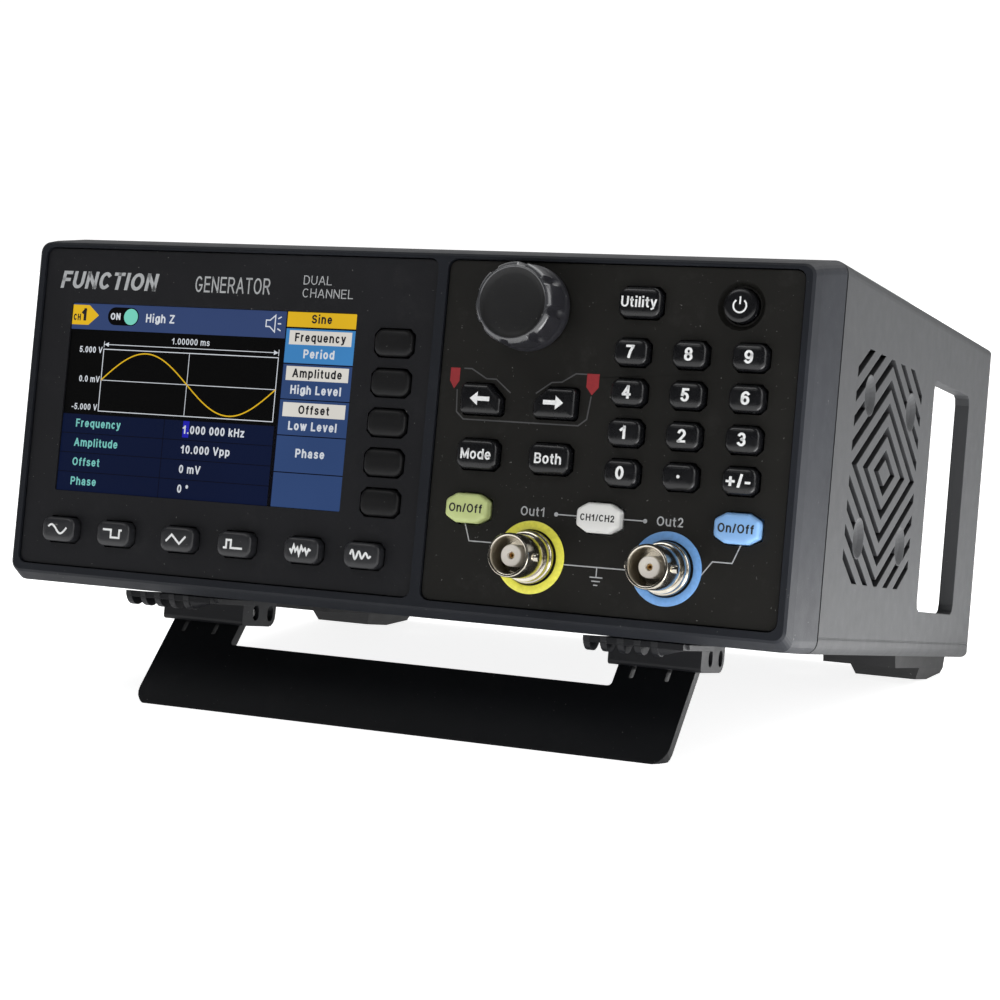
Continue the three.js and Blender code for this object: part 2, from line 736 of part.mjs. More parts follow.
function mainsInlet() {
  const { x, z, halfWidth, halfHeight } = INLET;
  const w = halfWidth - KEY_CLEARANCE;
  const h = halfHeight - KEY_CLEARANCE;
  const body = box(x - w, x + w, FLANGE_FACE - 24, FLANGE_FACE - 1, z - h, z + h);
  const flange = prismY(
    roundedRect(x - w - 2, x + w + 2, z - h - 2, z + h + 2, 2, 1),
    REAR_PANEL.back + GAP,
    FLANGE_FACE,
  );
  const m = SOCKET_MOUTH;
  const chamfer = 4;
  const mouth = [
    point(x - m.halfWidth, m.z - m.halfHeight),
    point(x + m.halfWidth, m.z - m.halfHeight),
    point(x + m.halfWidth, m.z + m.halfHeight - chamfer),
    point(x + m.halfWidth - chamfer, m.z + m.halfHeight),
    point(x - m.halfWidth + chamfer, m.z + m.halfHeight),
    point(x - m.halfWidth, m.z + m.halfHeight - chamfer),
  ];
  const well = box(
    x - ROCKER.halfWidth - 0.5,
    x + ROCKER.halfWidth + 0.5,
    FLANGE_FACE - 9,
    FLANGE_FACE + 1,
    ROCKER.z - ROCKER.halfHeight - 0.6,
    ROCKER.z + ROCKER.halfHeight + 0.6,
  );
  return cut(union(body, flange), prismY(mouth, FLANGE_FACE - m.depth, FLANGE_FACE + 1), well);
}

// The rocker's two faces meet at its middle; at rest its lower half is pressed in.
const ROCKER_SWING = THREE.MathUtils.degToRad(7);

function mainsRocker() {
  const { z, halfWidth, halfHeight, pivotY } = ROCKER;
  const face = 2.6;
  const rise = halfHeight * Math.tan(ROCKER_SWING);
  const section = [
    point(-4, -3),
    point(face + rise, -halfHeight),
    point(face, 0),
    point(face + rise, halfHeight),
    point(-4, 3),
  ];
  const turnedSection = section.map((p) => p.clone().rotateAround(point(0, 0), ROCKER_SWING));
  return prismX(
    turnedSection.map((p) => point(p.x + pivotY, p.y + z)),
    INLET.x - halfWidth,
    INLET.x + halfWidth,
  );
}

function usbPort() {
  const { x, z } = USB;
  const front = REAR_PANEL.back - 14;
  const back = REAR_PANEL.back + 0.6;
  const shell = box(x - 6, x + 6, front, back, z - 5.7, z + 5.7);
  const mouth = box(x - 4.3, x + 4.3, back - 9, back + 1, z - 4.1, z + 4.1);
  const tongue = box(x - 2.8, x + 2.8, back - 9.5, back - 1.2, z - 1.5, z + 1.5);
  return union(cut(shell, mouth), tongue);
}

// ---- Feet and stand --------------------------------------------------------------------------

// A front foot: five ribs and a cone under the bezel, then a block, open behind and below, whose
// two side walls hold the stand's hinge pin. It is drawn from x = 0 and is the same on both sides.
function frontFoot() {
  const { width, front, back, drop, wall } = FRONT_FOOT;
  const { line, first, pitch, halfWidth, radius } = RIB;
  const base = box(first - 0.6, width + 2.4, line - 3.2, front + 1, -1.6, 1);
  const round = 3;
  const section = [
    point(front, -GAP),
    ...arc(front + 1, -drop + 1, 1, Math.PI, 1.5 * Math.PI, 3),
    ...arc(back - round, -drop + round, round, 1.5 * Math.PI, 2 * Math.PI, 4),
    point(back, -GAP),
  ];
  const cavity = box(wall, width - wall, front + 1.8, back + 1, -drop - 1, 1);
  const ribs = Array.from({ length: 5 }, (_, i) => {
    const centre = first + i * pitch;
    return barX(line, 0, centre - halfWidth, centre + halfWidth, radius, 20);
  });
  const coneStart = first + 4 * pitch + halfWidth;
  const cone = barX(line, 0, coneStart, coneStart + 6.6, radius - 0.3, 20, 1.2);
  const under = [
    point(BROW.y + 1, BROW.bottom - GAP),
    point(BROW.y + 1, -drop - 1),
    point(back + 1, -drop - 1),
    point(back + 1, -GAP),
    point(BEZEL_DEPTH, -GAP),
  ];
  const block = cut(prismX(section, 0, width), cavity);
  const foot = union(base, block, ...ribs, cone).intersect(prismX(under, -1, width + 4));
  const { y, z } = STAND_HINGE;
  const slots = [y, y + 7.2].map((atY) =>
    prismX(roundedRect(atY - 1.4, atY + 1.4, z - 1.9, z + 1.9, 1.3, 3), -1, width + 1),
  );
  return cut(foot, ...slots);
}

const hingePin = () =>
  barX(STAND_HINGE.y, STAND_HINGE.z, 0.8, FRONT_FOOT.width - 0.8, PIN_RADIUS, 12);

// A rear foot: a thin base and a pad that narrows downwards, with a heel cut parallel to the table.
function rearFoot() {
  const { width, baseFront, padFront, contact, heel, base } = REAR_FOOT;
  const drop = REAR_FOOT_DROP;
  const end = contact + heel;
  const section = [
    point(baseFront, -GAP),
    point(baseFront + 1, -base),
    point(padFront, -base),
    point(padFront + 2.4, -drop),
    point(contact, -drop),
    point(end, -drop + heel * TILT_SLOPE),
    point(end + 1.6, -GAP),
  ];
  const taper = 1.4;
  const front = [
    point(taper, -drop - 0.1),
    point(width - taper, -drop - 0.1),
    point(width, -base),
    point(width, 0),
    point(0, 0),
    point(0, -base),
  ];
  return prismX(section.reverse(), 0, width).intersect(prismY(front, baseFront - 1, end + 3));
}

// A wide plate with a window, on two arms. It is drawn hanging straight down from its hinge, then
// swung forwards, and its toe is cut parallel to the table.
const STAND_LEAN = Math.atan2(STAND_TOE.y - STAND_HINGE.y, STAND_HINGE.z - STAND_TOE.z);
const ARM_OUTER = FRONT_FOOT.inner + FRONT_FOOT.width - FRONT_FOOT.wall - GAP;
const ARM_INNER = FRONT_FOOT.inner + FRONT_FOOT.wall + GAP;
const ARM_SLOTS = [4, 12.6]; // two slots in each arm, this far from its left edge

function tiltStand() {
  const { y, z } = STAND_HINGE;
  const half = STAND_THICKNESS / 2;
  const reach = Math.hypot(STAND_TOE.y - y, STAND_TOE.z - z);
  const corner = 5.5;
  const inner = 1;
  const bottom = -reach - 2;
  const sill = -WINDOW_REACH;
  const frame = new THREE.Shape([
    ...arc(ARM_OUTER - corner, bottom + corner, corner, -Math.PI / 2, 0, 6),
    point(ARM_OUTER, 0),
    point(ARM_INNER, 0),
    ...arc(ARM_INNER - inner, sill + inner, inner, 0, -Math.PI / 2, 3),
    ...arc(-ARM_INNER + inner, sill + inner, inner, -Math.PI / 2, -Math.PI, 3),
    point(-ARM_INNER, 0),
    point(-ARM_OUTER, 0),
    ...arc(-ARM_OUTER + corner, bottom + corner, corner, Math.PI, 1.5 * Math.PI, 6),
  ]);
  for (const armLeft of [-ARM_OUTER, ARM_INNER]) {
    for (const along of ARM_SLOTS) {
      const x = armLeft + along;
      frame.holes.push(new THREE.Path(roundedRect(x - 0.55, x + 0.55, -8.7, -4.2, 0.3, 1)));
    }
  }
  const flat = new THREE.ExtrudeGeometry(frame, { depth: STAND_THICKNESS, bevelEnabled: false });
  flat.rotateX(Math.PI / 2).translate(0, half, 0);
  const plate = solid(flat.rotateX(STAND_LEAN).translate(0, y, z));
  const barrels = [-ARM_OUTER, ARM_INNER].map((x) =>
    barX(y, z, x, x + ARM_OUTER - ARM_INNER, STAND_BARREL),
  );
  const toeHeight = (atY) => STAND_TOE.z + (atY - STAND_TOE.y) * TILT_SLOPE;
  const belowTable = [point(0, -40), point(50, -40), point(50, toeHeight(50)), point(0, toeHeight(0))];
  const bore = barX(y, z, -ARM_OUTER - 1, ARM_OUTER + 1, PIN_RADIUS + GAP, 12);
  return cut(union(plate, ...barrels), prismX(belowTable, -80, 80), bore);
}

// ---- Assembly --------------------------------------------------------------------------------

const CASE_COLOR = 0x66686b;
const FRONT_COLOR = 0x25272b;
const FOOT_COLOR = 0x34363a;
const BOARD_COLOR = 0x1f5c3a;

// A named mesh from a solid, moved to where the piece stands.
function mesh(name, piece, material, x = 0, y = 0, z = 0) {
  const { numProp, vertProperties, triVerts } = piece.getMesh();
  const positions = new THREE.InterleavedBuffer(vertProperties, numProp);
  const geometry = new THREE.BufferGeometry();
  geometry.setAttribute("position", new THREE.InterleavedBufferAttribute(positions, 3, 0));
  geometry.setIndex(new THREE.BufferAttribute(triVerts, 1));
  geometry.computeVertexNormals();
  const made = new THREE.Mesh(geometry, material);
  made.name = name;
  made.position.set(x, y, z);
  return made;
}

function group(...meshes) {
  const made = new THREE.Group();
  made.add(...meshes);
  return made;
}

const front = group(
  mesh("front_bezel", frontBezel(), plastic(FRONT_COLOR)),
  mesh("display_panel", displayPanel(), plastic(0x2a2a2e)),
  mesh("keypad_panel", keypadPanel(), plastic(0x2c2a27)),
  mesh("lcd_window", lcdWindow(), plastic(0x101418, 0.15)),
  mesh("lcd_module", lcdModule(), metal(0xb4b6b8, 0.5)),
  mesh("keypad_membrane", keypadMembrane(), plastic(0x8f9296, 0.9)),
  mesh("key_board", keyBoard(), plastic(BOARD_COLOR)),
  mesh("encoder", encoder(), metal(0xb4b6b8, 0.4)),
  mesh("knob", knob(), plastic(0x5a5c60, 0.5), KNOB.x, 0, KNOB.z),
  mesh("output_socket_1", coaxialSocket(), metal(0xc8c9cb), socketsX[0], 0, SOCKET_Z),
  mesh("output_socket_2", coaxialSocket(), metal(0xc8c9cb), socketsX[1], 0, SOCKET_Z),
  ...[...displayKeys, ...keypadKeys].map((key) =>
    mesh(key.name, keyCap(key), plastic(key.color, 0.55), key.x, 0, key.z),
  ),
);

const body = group(
  mesh("top_cover", topCover(), plastic(CASE_COLOR, 0.75)),
  mesh("bottom_cover", bottomCover(), plastic(CASE_COLOR, 0.75)),
  mesh("main_board", mainBoard(), plastic(BOARD_COLOR)),
  mesh("power_supply", powerSupply(), plastic(BOARD_COLOR)),
);

const rearSocket = mesh("rear_socket", coaxialSocket(), metal(0xc8c9cb));
rearSocket.position.set(REAR_SOCKET.x, REAR_PANEL.back + GAP, REAR_SOCKET.z);
rearSocket.rotation.z = Math.PI;

const rear = group(
  mesh("rear_panel", rearPanel(), metal(0x9a9c9e, 0.6)),
  mesh("mains_inlet", mainsInlet(), plastic(0x17181a)),
  mesh("mains_rocker", mainsRocker(), plastic(0x101112, 0.4)),
  mesh("usb_port", usbPort(), metal(0xb4b6b8, 0.4)),
  rearSocket,
);

const supports = group(mesh("tilt_stand", tiltStand(), plastic(FOOT_COLOR, 0.7)));
for (const [side, x] of [
  ["left", -FRONT_FOOT.inner - FRONT_FOOT.width],
  ["right", FRONT_FOOT.inner],
]) {
  supports.add(
    mesh(`${side}_front_foot`, frontFoot(), plastic(FOOT_COLOR, 0.7), x),
    mesh(`${side}_hinge_pin`, hingePin(), metal(0xa8aaac), x),
    mesh(`${side}_rear_foot`, rearFoot(), plastic(FOOT_COLOR, 0.9), REAR_FOOT_LEFT_EDGES[side]),
  );
}

const instrument = group(front, body, rear, supports);

// Tipped back on the stand, centred over the origin and resting on z = 0.
instrument.rotation.x = -TILT;
instrument.updateMatrixWorld(true);
const extent = new THREE.Box3().setFromObject(instrument, true);
const middle = extent.getCenter(new THREE.Vector3());
instrument.position.set(-middle.x, -middle.y, -extent.min.z);

export default group(instrument);
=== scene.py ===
"""A bench function generator on its fold-out stand, dressed for close views.

Lengths are millimetres in the case's own frame, X to the right, Y from the front rim to the back
and Z up from the underside, until CASE moves them to the row frame, in metres.
"""

import json
import math

import bmesh
import bpy
from mathutils import Matrix, Vector


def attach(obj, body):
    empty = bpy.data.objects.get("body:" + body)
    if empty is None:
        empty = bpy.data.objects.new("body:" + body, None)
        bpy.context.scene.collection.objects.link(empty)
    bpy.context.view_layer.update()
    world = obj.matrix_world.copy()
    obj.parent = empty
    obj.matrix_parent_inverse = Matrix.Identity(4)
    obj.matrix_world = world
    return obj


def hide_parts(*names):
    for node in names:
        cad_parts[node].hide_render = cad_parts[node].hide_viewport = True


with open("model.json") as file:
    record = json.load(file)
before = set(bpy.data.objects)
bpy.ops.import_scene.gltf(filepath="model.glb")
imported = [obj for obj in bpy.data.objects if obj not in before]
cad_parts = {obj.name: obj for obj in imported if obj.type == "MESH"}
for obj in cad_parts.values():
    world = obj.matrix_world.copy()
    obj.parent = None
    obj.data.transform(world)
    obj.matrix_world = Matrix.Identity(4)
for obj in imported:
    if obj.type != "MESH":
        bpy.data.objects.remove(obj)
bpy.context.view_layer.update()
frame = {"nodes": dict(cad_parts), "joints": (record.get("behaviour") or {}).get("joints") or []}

MM = 0.001
TAU = 2 * math.pi

# Where things are on the front, in the case's frame
KNOB_X, KNOB_Z = 33.3, 70.7
SOCKET_X = (38.3, 70.1)
SOCKET_Z = 15.75
SOCKET_BASE = 0.0
PANEL_FACE = 0.7
PRINT_GAP = 0.03  # how far printed ink stands off the surface under it
SCREEN_LEFT, SCREEN_TOP = -87.7, 68.1
SCREEN_RIGHT, SCREEN_BOTTOM = -9.9, 22.4
SCREEN_FACE = 1.2

# Where things are on the case and at its back
COVER_JOINT = 3.6  # height of the joint between the bottom cover and the top cover
REAR_SOCKET_X, REAR_SOCKET_Z, REAR_SOCKET_BASE = 48.0, 24.0, 103.8
FAN_X, FAN_Z = -22, 46
REAR_SCREW_SEAT = 103.52


# ---- The case's frame ----


def case_frame():
    """The matrix from millimetres in the case's frame to metres in the row frame."""
    joint = next(j for j in frame["joints"] if j["name"] == "knob_turn")
    right = Vector((1, 0, 0))
    back = Vector(joint["axis"]).normalized()
    turn = Matrix((right, back, right.cross(back))).transposed()
    origin = Vector(joint["pos_m"]) - turn @ Vector((KNOB_X, 0, KNOB_Z)) * MM
    return Matrix.Translation(origin) @ turn.to_4x4() @ Matrix.Scale(MM, 4)


CASE = case_frame()
CASE_INVERSE = CASE.inverted()
CASE_TURN = CASE.to_quaternion()


def case_bounds(node):
    """Lowest and highest corner of a CAD node in the case's frame."""
    points = [CASE_INVERSE @ v.co for v in frame["nodes"][node].data.vertices]
    low = Vector([min(p[i] for p in points) for i in range(3)])
    high = Vector([max(p[i] for p in points) for i in range(3)])
    return low, high


def case_place(node):
    """A CAD node's lowest and highest corner, then the X and Z of its middle."""
    low, high = case_bounds(node)
    return low, high, (low.x + high.x) / 2, (low.z + high.z) / 2


# ---- Outlines ----


def circle(radius, steps):
    angles = [TAU * i / steps for i in range(steps)]
    return [(radius * math.cos(a), radius * math.sin(a)) for a in angles]


def rectangle(x0, x1, z0, z1):
    return [(x0, z0), (x1, z0), (x1, z1), (x0, z1)]


def moved(points, x, z):
    return [(px + x, pz + z) for px, pz in points]


def corners(points):
    """Each corner of a closed outline, with the directions back and on from it."""
    for before, corner, after in zip(points[-1:] + points[:-1], points, points[1:] + points[:1]):
        corner = Vector(corner)
        yield corner, (Vector(before) - corner).normalized(), (Vector(after) - corner).normalized()


def inset(points, amount):
    """An anticlockwise convex outline with every side moved inwards."""
    result = []
    for corner, back, on in corners(points):
        normals = Vector((back.y, -back.x)) + Vector((-on.y, on.x))
        result.append(tuple(corner + normals * (2 * amount / normals.length_squared)))
    return result


def rounded(points, radius, steps=5):
    """An anticlockwise convex outline with its corners rounded off."""
    result = []
    for corner, back, on in corners(points):
        half = back.angle(on) / 2
        centre = corner + (back + on).normalized() * (radius / math.sin(half))
        start = corner + back * (radius / math.tan(half)) - centre
        sweep = math.pi - 2 * half
        for i in range(steps + 1):
            angle = sweep * i / steps
            cos, sin = math.cos(angle), math.sin(angle)
            turned = Vector((start.x * cos - start.y * sin, start.x * sin + start.y * cos))
            result.append(tuple(centre + turned))
    return result


def ribbon(points, width, closed=False):
    """Four-cornered patches along a line, mitred where it bends."""
    count = len(points)
    edges = []
    for i, point in enumerate(points):
        before = points[i - 1] if i or closed else None
        after = points[(i + 1) % count] if i + 1 < count or closed else None
        sides = []
        for a, b in ((before, point), (point, after)):
            if a is not None and b is not None:
                along = (Vector(b) - Vector(a)).normalized()
                sides.append(Vector((-along.y, along.x)))
        side = sum(sides, Vector((0, 0)))
        side *= width / 2 * len(sides) / side.length_squared
        edges.append((tuple(Vector(point) - side), tuple(Vector(point) + side)))
    pairs = list(zip(edges, edges[1:] + edges[:1])) if closed else list(zip(edges, edges[1:]))
    return [[a[0], b[0], b[1], a[1]] for a, b in pairs]


# ---- Pieces ----


def add_object(name, data):
    obj = bpy.data.objects.new(name, data)
    bpy.context.scene.collection.objects.link(obj)
    return obj


def piece(name, verts, faces, material, body="instrument", replaces=(), sharp=35):
    """A mesh piece from points in the case's frame, riding on a body."""
    mesh = bpy.data.meshes.new(name)
    mesh.from_pydata([CASE @ Vector(v) for v in verts], [], faces)
    shape = bmesh.new()
    shape.from_mesh(mesh)
    bmesh.ops.recalc_face_normals(shape, faces=shape.faces)
    shape.to_mesh(mesh)
    shape.free()
    mesh.shade_smooth()
    mesh.set_sharp_from_angle(angle=math.radians(sharp))
    mesh.materials.append(material)
    obj = add_object(name, mesh)
    if replaces:
        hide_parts(*replaces)
    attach(obj, body)
    return obj


def slices(outline, places):
    """Copies of an outline at several places along Y."""
    return [[(px, y, pz) for px, pz in outline] for y in places]


def skin(rings, caps=(True, True)):
    """Vertices and faces of a skin over closed rings of equal length."""
    size = len(rings[0])
    verts = [point for ring in rings for point in ring]
    faces = []
    for r in range(len(rings) - 1):
        for i in range(size):
            j = (i + 1) % size
            faces.append((r * size + i, r * size + j, (r + 1) * size + j, (r + 1) * size + i))
    if caps[0]:
        faces.append(tuple(range(size)))
    if caps[1]:
        faces.append(tuple(range((len(rings) - 1) * size, len(rings) * size)))
    return verts, faces


def turned(profile, x, z, segments=64, caps=(True, True)):
    """A turned shape about the line through (x, z) along Y, from pairs of radius and y."""
    rings = [slices(moved(circle(radius, segments), x, z), (y,))[0] for radius, y in profile]
    return skin(rings, caps)


def flat(name, outlines, y, material, **options):
    """A thin printed layer: flat patches that share one material, facing forwards."""
    verts, faces = [], []
    for outline in outlines:
        faces.append(tuple(range(len(verts), len(verts) + len(outline))))
        verts += [(px, y, pz) for px, pz in outline]
    obj = piece(name, verts, faces, material, **options)
    front = CASE.to_3x3() @ Vector((0, -1, 0))
    for polygon in obj.data.polygons:
        if polygon.normal.dot(front) < 0:
            polygon.flip()
    return obj


def oval(cu, cv, ru, rv, start=0, end=360):
    """Points along part of an oval, from one angle to another in degrees."""
    steps = max(4, round(abs(end - start) / 15))
    angles = [math.radians(start + (end - start) * i / steps) for i in range(steps + 1)]
    return [(cu + ru * math.cos(a), cv + rv * math.sin(a)) for a in angles]


# Plain upright characters: each one's width where a capital's height is 1, then the middle lines of the
# strokes, across the width from 0 to 1 and up from the base line at 0 to a capital's top at 1.
BOWL = (0.5, 0.37, 0.5, 0.37)
RING = (0.5, 0.5, 0.5, 0.5)
ARCH = oval(0.5, 0.4, 0.5, 0.34, 180, 0) + [(1, 0)]
LEFT_STEM, RIGHT_STEM = [(0, 0), (0, 1)], [(1, 0), (1, 1)]
GLYPHS = {
    " ": (0.2, []),
    ".": (0.2, [[(0.5, 0), (0.5, 0.02)]]),
    "-": (0.36, [[(0, 0.36), (1, 0.36)]]),
    "+": (0.58, [[(0, 0.42), (1, 0.42)], [(0.5, 0.1), (0.5, 0.74)]]),
    "/": (0.34, [[(0, 0), (1, 1)]]),
    "°": (0.34, [oval(0.5, 0.84, 0.5, 0.16)]),
    "0": (0.56, [oval(*RING)]),
    "1": (0.46, [[(0.75, 0), (0.75, 1)], [(0.75, 0.96), (0, 0.72)]]),
    "2": (0.56, [oval(0.5, 0.71, 0.47, 0.29, 160, -35) + [(0.06, 0)], [(0.02, 0), (1, 0)]]),
    "3": (0.56, [oval(0.46, 0.75, 0.44, 0.25, 150, -80), oval(0.46, 0.26, 0.5, 0.26, 80, -150)]),
    "4": (0.58, [[(0.74, 0), (0.74, 1)], [(0.7, 0.98), (0, 0.32)], [(0, 0.27), (1, 0.27)]]),
    "5": (0.56, [[(0.92, 1), (0.2, 1), (0.08, 0.5)], oval(0.46, 0.31, 0.5, 0.31, 130, -150)]),
    "6": (0.56, [oval(0.5, 0.3, 0.5, 0.3), oval(0.56, 0.58, 0.56, 0.42, 45, 180) + [(0, 0.3)]]),
    "7": (0.56, [[(0, 1), (1, 1)], [(0.96, 0.94), (0.56, 0.5), (0.34, 0)]]),
    "8": (0.56, [oval(0.5, 0.76, 0.43, 0.24), oval(0.5, 0.26, 0.5, 0.26)]),
    "9": (0.56, [oval(0.5, 0.7, 0.5, 0.3), oval(0.44, 0.42, 0.56, 0.42, 225, 360) + [(1, 0.7)]]),
    "A": (0.72, [[(0, 0), (0.47, 1)], [(0.53, 1), (1, 0)], [(0.2, 0.32), (0.8, 0.32)]]),
    "B": (
        0.64,
        [
            [(0, 0.52), (0, 1), (0.5, 1)] + oval(0.55, 0.76, 0.38, 0.24, 85, -90) + [(0, 0.52)],
            [(0, 0.52), (0, 0), (0.5, 0)] + oval(0.55, 0.26, 0.45, 0.26, -85, 90),
        ],
    ),
    "C": (0.68, [oval(*RING, 50, 310)]),
    "D": (0.66, [[(0, 0), (0, 1), (0.35, 1)] + oval(0.45, 0.5, 0.55, 0.5, 85, -90) + [(0, 0)]]),
    "E": (0.58, [[(1, 1), (0, 1), (0, 0), (1, 0)], [(0, 0.52), (0.9, 0.52)]]),
    "F": (0.54, [[(1, 1), (0, 1), (0, 0)], [(0, 0.5), (0.86, 0.5)]]),
    "G": (0.7, [oval(*RING, 50, 335) + [(1, 0.44), (0.6, 0.44)]]),
    "H": (0.66, [LEFT_STEM, RIGHT_STEM, [(0, 0.52), (1, 0.52)]]),
    "I": (0.2, [[(0.5, 0), (0.5, 1)]]),
    "L": (0.54, [[(0, 1), (0, 0), (1, 0)]]),
    "M": (0.78, [LEFT_STEM, RIGHT_STEM, [(0.02, 0.98), (0.5, 0.1)], [(0.98, 0.98), (0.5, 0.1)]]),
    "N": (0.66, [LEFT_STEM, RIGHT_STEM, [(0.03, 0.97), (0.97, 0.03)]]),
    "O": (0.74, [oval(*RING)]),
    "P": (0.62, [[(0, 0), (0, 1), (0.5, 1)] + oval(0.55, 0.72, 0.45, 0.28, 85, -90) + [(0, 0.44)]]),
    "R": (
        0.66,
        [
            [(0, 0), (0, 1), (0.5, 1)] + oval(0.55, 0.74, 0.42, 0.26, 85, -90) + [(0, 0.48)],
            [(0.55, 0.46), (1, 0)],
        ],
    ),
    "S": (0.62, [oval(0.5, 0.75, 0.47, 0.25, 30, 265), oval(0.5, 0.26, 0.5, 0.26, 85, -155)]),
    "T": (0.62, [[(0, 1), (1, 1)], [(0.5, 0), (0.5, 1)]]),
    "U": (0.66, [[(0, 1), (0, 0.36)] + oval(0.5, 0.36, 0.5, 0.36, 190, 350) + [(1, 0.36), (1, 1)]]),
    "V": (0.7, [[(0, 1), (0.48, 0)], [(0.52, 0), (1, 1)]]),
    "Z": (0.62, [[(0, 1), (1, 1)], [(0, 0), (1, 0)], [(0.96, 0.95), (0.04, 0.05)]]),
    "a": (0.56, [oval(0.5, 0.5, 0.42, 0.24, 150, 5) + [(0.92, 0)], oval(0.46, 0.2, 0.46, 0.2)]),
    "c": (0.52, [oval(*BOWL, 50, 310)]),
    "d": (0.58, [RIGHT_STEM, oval(*BOWL)]),
    "e": (0.56, [[(0.04, 0.38), (0.96, 0.38)], oval(*BOWL, 5, 315)]),
    "f": (0.36, [oval(0.95, 0.8, 0.55, 0.2, 90, 180) + [(0.4, 0)], [(0, 0.7), (0.9, 0.7)]]),
    "g": (0.58, [oval(*BOWL), [(1, 0.74), (1, 0)] + oval(0.5, 0, 0.5, 0.26, 0, -150)]),
    "h": (0.56, [LEFT_STEM, ARCH]),
    "i": (0.2, [[(0.5, 0), (0.5, 0.68)], [(0.5, 1.05), (0.5, 1.07)]]),
    "k": (0.54, [LEFT_STEM, [(0.92, 0.74), (0.06, 0.26)], [(0.4, 0.44), (0.96, 0)]]),
    "l": (0.2, [[(0.5, 0), (0.5, 1)]]),
    "m": (
        0.86,
        [
            [(0, 0), (0, 0.74)],
            oval(0.25, 0.44, 0.25, 0.3, 180, 0) + [(0.5, 0)],
            oval(0.75, 0.44, 0.25, 0.3, 180, 0) + [(1, 0)],
        ],
    ),
    "n": (0.56, [[(0, 0), (0, 0.74)], ARCH]),
    "o": (0.58, [oval(*BOWL)]),
    "p": (0.58, [[(0, -0.26), (0, 0.74)], oval(*BOWL)]),
    "q": (0.58, [[(1, -0.26), (1, 0.74)], oval(*BOWL)]),
    "r": (0.36, [[(0, 0), (0, 0.74)], oval(0.85, 0.34, 0.85, 0.4, 170, 95)]),
    "s": (0.52, [oval(0.5, 0.56, 0.44, 0.18, 30, 265), oval(0.5, 0.19, 0.5, 0.19, 85, -150)]),
    "t": (0.36, [[(0.4, 0.94), (0.4, 0.2)] + oval(0.9, 0.2, 0.5, 0.2, 190, 270), [(0, 0.7), (0.9, 0.7)]]),
    "u": (0.56, [[(0, 0.74), (0, 0.34)] + oval(0.5, 0.34, 0.5, 0.34, 190, 360), [(1, 0), (1, 0.74)]]),
    "v": (0.54, [[(0, 0.74), (0.47, 0)], [(0.53, 0), (1, 0.74)]]),
    "w": (
        0.78,
        [[(0, 0.74), (0.26, 0)], [(0.26, 0), (0.5, 0.7)], [(0.5, 0.7), (0.74, 0)], [(0.74, 0), (1, 0.74)]],
    ),
    "y": (0.54, [[(0, 0.74), (0.5, 0.02)], [(1, 0.74), (0.46, -0.18), (0.1, -0.26)]]),
    "z": (0.5, [[(0, 0.74), (1, 0.74)], [(0, 0), (1, 0)], [(0.94, 0.7), (0.06, 0.04)]]),
}


def stroke_patches(line, width, weight):
    """Patches along one stroke of a character, with square ends."""
    points = [
        Vector((weight / 2 + u * (width - weight), weight / 2 + v * (1 - weight))) for u, v in line
    ]
    if (points[0] - points[-1]).length < 1e-6:
        return ribbon(points[:-1], weight, closed=True)
    points[0] += (points[0] - points[1]).normalized() * weight / 2
    points[-1] += (points[-1] - points[-2]).normalized() * weight / 2
    return ribbon(points, weight)


def lettering(
    name, text, x, y, z, height, material,
    body="instrument", align="CENTER", weight=0.16, gap=0.15, stretch=1.0, slant=0.0,
):
    """Printed characters; z is their base line and height that of a capital."""
    patches, reach = [], 0.0
    for character in text:
        width, lines = GLYPHS[character]
        for line in lines:
            for outline in stroke_patches(line, width, weight):
                patches.append([(reach + u, v) for u, v in outline])
        reach += width + gap
    start = {"LEFT": 0.0, "CENTER": (reach - gap) / 2, "RIGHT": reach - gap}[align]
    placed = [
        [(x + (u - start + v * slant) * height * stretch, z + v * height) for u, v in outline]
        for outline in patches
    ]
    return flat(name, placed, y, material, body=body)


def dress(node, material, bevel, segments=2, sharp=35):
    """Keeps a CAD node: merges its flat triangles, softens its edges and gives it a material."""
    obj = frame["nodes"][node]
    obj.data.materials.clear()
    obj.data.materials.append(material)
    obj.data.shade_smooth()
    flatten = obj.modifiers.new("flatten", "DECIMATE")
    flatten.decimate_type = "DISSOLVE"
    flatten.angle_limit = math.radians(0.5)
    if bevel:
        soften = obj.modifiers.new("soften", "BEVEL")
        soften.width = bevel * MM
        soften.segments = segments
        soften.limit_method = "ANGLE"
        soften.angle_limit = math.radians(sharp)
        soften.harden_normals = True
    else:
        obj.data.set_sharp_from_angle(angle=math.radians(sharp))


# ---- Materials ----

DUST_TONE = (0.42, 0.42, 0.4)
SMEAR_TONE = (0.3, 0.3, 0.29)
# The colour painted into slots and corners as shade
PAINTED_CREVICE_SHADE = (0.006, 0.006, 0.007)


